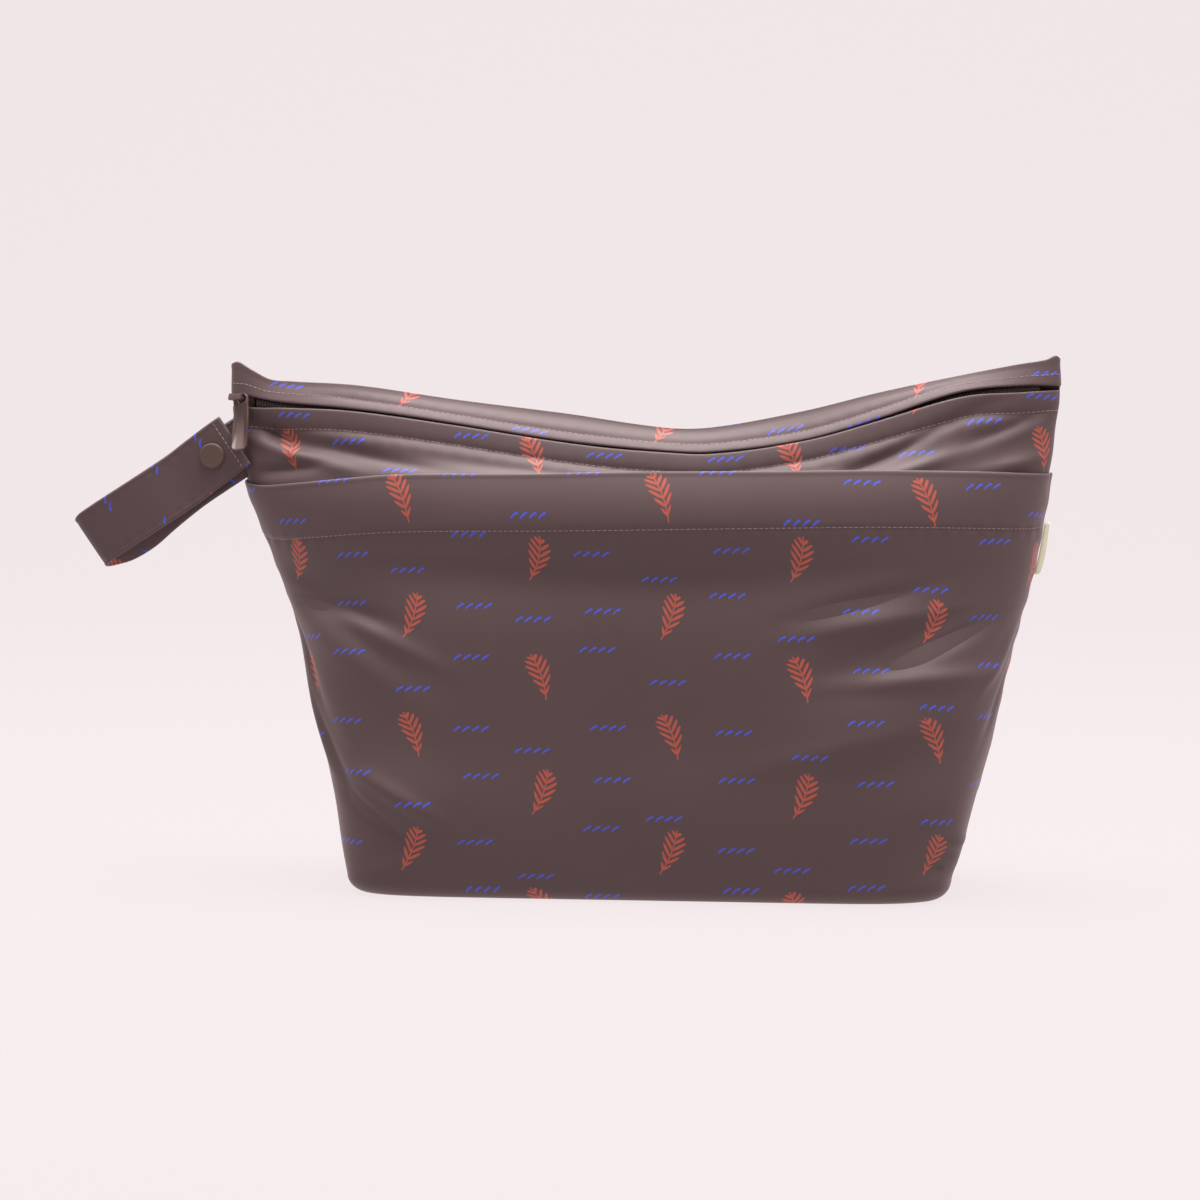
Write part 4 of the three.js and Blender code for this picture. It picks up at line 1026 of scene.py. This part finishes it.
class Field:
    """A number that varies over a surface, worked out by math nodes."""

    def __init__(self, tree, value):
        self.tree = tree
        self.value = value

    def calc(self, operation, *others):
        node = self.tree.nodes.new("ShaderNodeMath")
        node.operation = operation
        for socket, value in zip(node.inputs, (self, *others)):
            value = value.value if isinstance(value, Field) else value
            if isinstance(value, (int, float)):
                socket.default_value = value
            else:
                self.tree.links.new(value, socket)
        return Field(self.tree, node.outputs[0])

    def __add__(self, other):
        return self.calc("ADD", other)

    def __sub__(self, other):
        return self.calc("SUBTRACT", other)

    def __mul__(self, other):
        return self.calc("MULTIPLY", other)

    def __truediv__(self, other):
        return self.calc("DIVIDE", other)

    def floor(self):
        return self.calc("FLOOR")

    def fract(self):
        return self.calc("FRACT")

    def size(self):
        return self.calc("ABSOLUTE")

    def parity(self):
        return self.calc("FLOORED_MODULO", 2.0)

    def below(self, limit, soft=0.18):
        """1 where the field is under the limit and 0 where it is over, with a soft edge."""
        node = self.tree.nodes.new("ShaderNodeMapRange")
        for name, value in (("From Min", -soft), ("From Max", soft), ("To Min", 1.0), ("To Max", 0.0)):
            node.inputs[name].default_value = value
        difference = self - limit
        self.tree.links.new(difference.value, node.inputs["Value"])
        return Field(self.tree, node.outputs["Result"])


def linear(red, green, blue):
    """A colour named by its 0 to 255 display values."""
    def one(value):
        value /= 255
        return value / 12.92 if value <= 0.04045 else ((value + 0.055) / 1.055) ** 2.4
    return (one(red), one(green), one(blue), 1.0)


def new_material(name, colour, roughness, sheen=0.0, metallic=0.0, specular=0.5):
    material = bpy.data.materials.new(name)
    material.use_nodes = True
    tree = material.node_tree
    surface = tree.nodes["Principled BSDF"]
    surface.inputs["Base Color"].default_value = colour
    surface.inputs["Roughness"].default_value = roughness
    surface.inputs["Metallic"].default_value = metallic
    surface.inputs["Specular IOR Level"].default_value = specular
    surface.inputs["Sheen Weight"].default_value = sheen
    surface.inputs["Sheen Roughness"].default_value = 0.45
    return material, tree, surface


def noise(tree, coordinate, scale, detail=2.0, rough=0.5):
    node = tree.nodes.new("ShaderNodeTexNoise")
    tree.links.new(coordinate, node.inputs["Vector"])
    node.inputs["Scale"].default_value = scale
    node.inputs["Detail"].default_value = detail
    node.inputs["Roughness"].default_value = rough
    return node.outputs["Fac"]


def add_bump(tree, surface, height, strength, distance):
    node = tree.nodes.new("ShaderNodeBump")
    node.inputs["Strength"].default_value = strength
    node.inputs["Distance"].default_value = distance
    tree.links.new(height, node.inputs["Height"])
    tree.links.new(node.outputs["Normal"], surface.inputs["Normal"])


def mixed(tree, factor, first, second):
    """A colour between two, each a colour or a socket."""
    node = tree.nodes.new("ShaderNodeMix")
    node.data_type = "RGBA"
    sockets = [socket for socket in node.inputs if socket.enabled]
    for socket, value in zip(sockets, (factor, first, second)):
        if isinstance(value, (tuple, float, int)):
            socket.default_value = value
        else:
            tree.links.new(value, socket)
    return next(socket for socket in node.outputs if socket.enabled)


# The print: a half-drop lattice of leafy sprigs, and rows of slanted dashes between them
SPRIG_CELL = (61.0, 55.0)
SPRIG_SHIFT = (17.0, 12.0)
SPRIG_LEAN = 19
SPRIG_REACH = 11.0
LEAF_SPACING = 3.3
LEAF_LENGTH = 5.4
DASH_CELL = (30.5, 27.5)
DASH_GROUP = 8.8
DASH_SPACING = 4.4


def cells(u, v, size, shift):
    """Cell numbers and the place in the cell, with every other column moved down by half."""
    width, height = size
    a = (u + shift[0]) / width
    column = a.floor()
    b = (v + shift[1]) / height + column.parity() * 0.5
    row = b.floor()
    return column, row, (a.fract() - 0.5) * width, (b.fract() - 0.5) * height


def chance_at(tree, column, row):
    """Two random numbers for a cell, from -0.5 to 0.5."""
    join = tree.nodes.new("ShaderNodeCombineXYZ")
    tree.links.new(column.value, join.inputs["X"])
    tree.links.new(row.value, join.inputs["Y"])
    white = tree.nodes.new("ShaderNodeTexWhiteNoise")
    white.noise_dimensions = "2D"
    tree.links.new(join.outputs["Vector"], white.inputs["Vector"])
    split = tree.nodes.new("ShaderNodeSeparateColor")
    tree.links.new(white.outputs["Color"], split.inputs["Color"])
    return Field(tree, split.outputs["Red"]) - 0.5, Field(tree, split.outputs["Green"]) - 0.5


def turned(p, q, cosine, sine):
    return p * cosine + q * sine, q * cosine - p * sine


def sprig_mask(tree, u, v):
    """Leafy sprigs, leaning one way and the other by turns."""
    column, row, x, y = cells(u, v, SPRIG_CELL, SPRIG_SHIFT)
    way = (column + row).parity() * 2.0 - 1.0
    lean = math.radians(SPRIG_LEAN)
    q, p = turned(x, y, math.cos(lean), way * math.sin(lean))
    q = q + p * p * 0.012
    side = q.size()
    along_leaf = p - side * 0.95
    offset = ((along_leaf / LEAF_SPACING).fract() - 0.5) * LEAF_SPACING
    reach = (along_leaf * along_leaf * (-1.0 / SPRIG_REACH ** 2) + 1.0).calc("MAXIMUM", 0.02) * LEAF_LENGTH
    share = (side / reach).calc("MINIMUM", 1.0)
    width = (share * (share * -1.0 + 1.0)).calc("MAXIMUM", 0.0).calc("SQRT") * 1.9
    inside = (side - reach).below(0.0) * (p.size() - SPRIG_REACH).below(0.0)
    leaves = (offset.size() - width).below(0.0) * inside
    stem = (side - 0.32).below(0.0) * (p.size() - SPRIG_REACH * 1.02).below(0.0)
    return leaves.calc("MAXIMUM", stem)


def dash_mask(tree, u, v):
    """Rows of four short slanted dashes; a row that would touch a sprig is left out whole."""
    column, row, x, y = cells(u, v, DASH_CELL, (3.0, 5.0))
    first, second = chance_at(tree, column, row)
    p = x - first * 8.0
    q = y - second * 12.0
    offset = ((p / DASH_SPACING).fract() - 0.5) * DASH_SPACING
    slanted = q - offset * 0.6 + offset * offset * 0.12
    dash = (slanted.size() - 0.5).below(0.0) * (offset.size() - 1.75).below(0.0)
    group = (p.size() - DASH_GROUP).below(0.0, 0.05) * (q.size() - 3.4).below(0.0)
    _, _, sprig_x, sprig_y = cells(u - p, v - q, SPRIG_CELL, SPRIG_SHIFT)
    near_x = (sprig_x.size() - 15.0).below(0.0, 0.05)
    near_y = (sprig_y.size() - 15.0).below(0.0, 0.05)
    clear = near_x * near_y * -1.0 + 1.0
    return dash * group * clear


def print_material():
    """Knit cloth with a soft sheen and the print."""
    material, tree, surface = new_material("print_cloth", linear(85, 64, 65), 0.6, sheen=0.36, specular=0.4)
    surface.inputs["Sheen Tint"].default_value = linear(214, 186, 186)
    place = tree.nodes.new("ShaderNodeUVMap")
    place.uv_map = "print_map"
    split = tree.nodes.new("ShaderNodeSeparateXYZ")
    tree.links.new(place.outputs["UV"], split.inputs["Vector"])
    u = Field(tree, split.outputs["X"]) * 1000.0
    v = Field(tree, split.outputs["Y"]) * 1000.0
    sprigs = sprig_mask(tree, u, v)
    dashes = dash_mask(tree, u, v)
    worn = noise(tree, place.outputs["UV"], 900.0)
    ink = Field(tree, worn) * 0.5 + 0.62
    patches = noise(tree, place.outputs["UV"], 14.0)
    tone = mixed(tree, patches, linear(81, 61, 62), linear(88, 67, 68))
    rust = mixed(tree, (sprigs * ink).calc("MINIMUM", 1.0).value, tone, linear(186, 82, 62))
    blue = mixed(tree, (dashes * ink).calc("MINIMUM", 1.0).value, rust, linear(62, 86, 214))
    tree.links.new(blue, surface.inputs["Base Color"])
    rib = (u * (2 * math.pi / 0.9)).calc("SINE") * (v * (2 * math.pi / 0.8)).calc("SINE")
    weave = rib * 0.5 + Field(tree, noise(tree, place.outputs["UV"], 1600.0, 1.0))
    add_bump(tree, surface, weave.value, 0.16, 0.00012)
    return material


def plain_material(name, colour, roughness, scale, strength, **more):
    """A plain finish with a slight unevenness of tone and surface."""
    material, tree, surface = new_material(name, colour, roughness, **more)
    place = tree.nodes.new("ShaderNodeTexCoord")
    grain = noise(tree, place.outputs["Object"], scale)
    darker = tuple(c * 0.88 for c in colour[:3]) + (1.0,)
    tree.links.new(mixed(tree, grain, darker, colour), surface.inputs["Base Color"])
    add_bump(tree, surface, grain, strength, 0.0002)
    return material


print_cloth = print_material()
zip_cloth = plain_material("zip_cloth", linear(50, 38, 39), 0.85, 900.0, 0.4, sheen=0.2)
coil_plastic = plain_material("coil_plastic", linear(92, 72, 70), 0.42, 300.0, 0.1)
zip_metal = plain_material("zip_metal", linear(84, 61, 58), 0.42, 700.0, 0.12, specular=0.5)
snap_plastic = plain_material("snap_plastic", linear(92, 69, 62), 0.5, 600.0, 0.12, specular=0.4)
tag_material = plain_material("tag_cloth", linear(228, 222, 190), 0.8, 1400.0, 0.4, sheen=0.1)
thread = plain_material("thread", linear(158, 128, 128), 0.7, 900.0, 0.3, sheen=0.2)


def dress(piece, material, replaced=None, body="root"):
    """Gives a piece its material and its body, and hides the node that it takes the place of."""
    piece.data.materials.clear()
    piece.data.materials.append(material)
    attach(piece, body)
    if replaced:
        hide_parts(replaced)


dress(front_cloth, print_cloth, "front_panel")
dress(pocket_cloth, print_cloth, "pocket_panel")
dress(back_cloth, print_cloth, "back_panel")
dress(strap_cloth, print_cloth, "handle_strap")
dress(zip_teeth_piece, coil_plastic, "zip_coil")
dress(zip_core, zip_cloth)
dress(slider_body, zip_metal, "zip_slider")
dress(pull_tab, zip_metal, "zip_pull", body="pull")
dress(tag_cloth, tag_material, "side_tag")
for node, piece in snap_pieces.items():
    dress(piece, snap_plastic, node)
for piece in (lip_stitches, pocket_stitches, band_stitches, strap_stitches):
    dress(piece, thread)
for node in ("zip_tape_upper", "zip_tape_lower"):
    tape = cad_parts[node]
    tape.data.materials.clear()
    tape.data.materials.append(zip_cloth)


def backdrop():
    """A pale floor that curves up into a wall behind the bag, lit evenly from itself."""
    profile = [(-3.0, 0.0), (1.6, 0.0)]
    for angle in np.linspace(0, math.pi / 2, 17)[1:]:
        profile.append((1.6 + 1.2 * math.sin(angle), 1.2 - 1.2 * math.cos(angle)))
    profile.append((2.8, 5.0))
    half = 5.0
    vertices = [(x, y, z) for y, z in profile for x in (-half, half)]
    faces = [(2 * k, 2 * k + 1, 2 * k + 3, 2 * k + 2) for k in range(len(profile) - 1)]
    mesh = bpy.data.meshes.new("backdrop")
    mesh.from_pydata(vertices, [], faces)
    smooth(mesh)
    piece = linked("backdrop", mesh)
    material, _, surface = new_material("backdrop", (0.035, 0.033, 0.0335, 1.0), 1.0, specular=0.0)
    surface.inputs["Emission Color"].default_value = linear(242, 232, 233)
    surface.inputs["Emission Strength"].default_value = 0.95
    mesh.materials.append(material)


def area_light(name, place, size, power):
    """A soft lamp that faces the bag."""
    light = bpy.data.lights.new(name, "AREA")
    light.shape = "RECTANGLE"
    light.size, light.size_y = size
    light.energy = power
    lamp = linked(name, light)
    lamp.location = place
    lamp.rotation_euler = (LIGHT_TARGET - lamp.location).to_track_quat("-Z", "Y").to_euler()


backdrop()
LIGHT_TARGET = Vector((-0.02, 0.0, 0.13))
area_light("top_light", (0.0, 0.05, 1.7), (1.8, 1.2), 80)
area_light("front_light", (-0.5, -2.2, 1.5), (1.6, 1.0), 5)
area_light("right_light", (1.7, -0.7, 1.2), (0.8, 1.0), 5)
area_light("left_light", (-1.7, -0.4, 1.2), (0.8, 1.0), 4)

world = bpy.data.worlds.new("studio")
world.use_nodes = True
world.node_tree.nodes["Background"].inputs["Color"].default_value = (1.0, 0.965, 0.97, 1.0)
world.node_tree.nodes["Background"].inputs["Strength"].default_value = 0.31
bpy.context.scene.world = world
bpy.context.scene.view_settings.view_transform = "Standard"

CAMERA_DISTANCE = 1.608
CAMERA_AZIMUTH = 6.0
CAMERA_ELEVATION = 4.5
LOOK_AT = Vector((-0.026, 0.0, 0.138))

camera_data = bpy.data.cameras.new("camera")
camera_data.lens = 100
camera_data.sensor_width = 36
camera = linked("camera", camera_data)
azimuth, elevation = math.radians(CAMERA_AZIMUTH), math.radians(CAMERA_ELEVATION)
camera.location = LOOK_AT + CAMERA_DISTANCE * Vector((
    math.sin(azimuth) * math.cos(elevation), -math.cos(azimuth) * math.cos(elevation), math.sin(elevation),
))
camera.rotation_euler = (LOOK_AT - camera.location).to_track_quat("-Z", "Y").to_euler()
bpy.context.scene.camera = camera
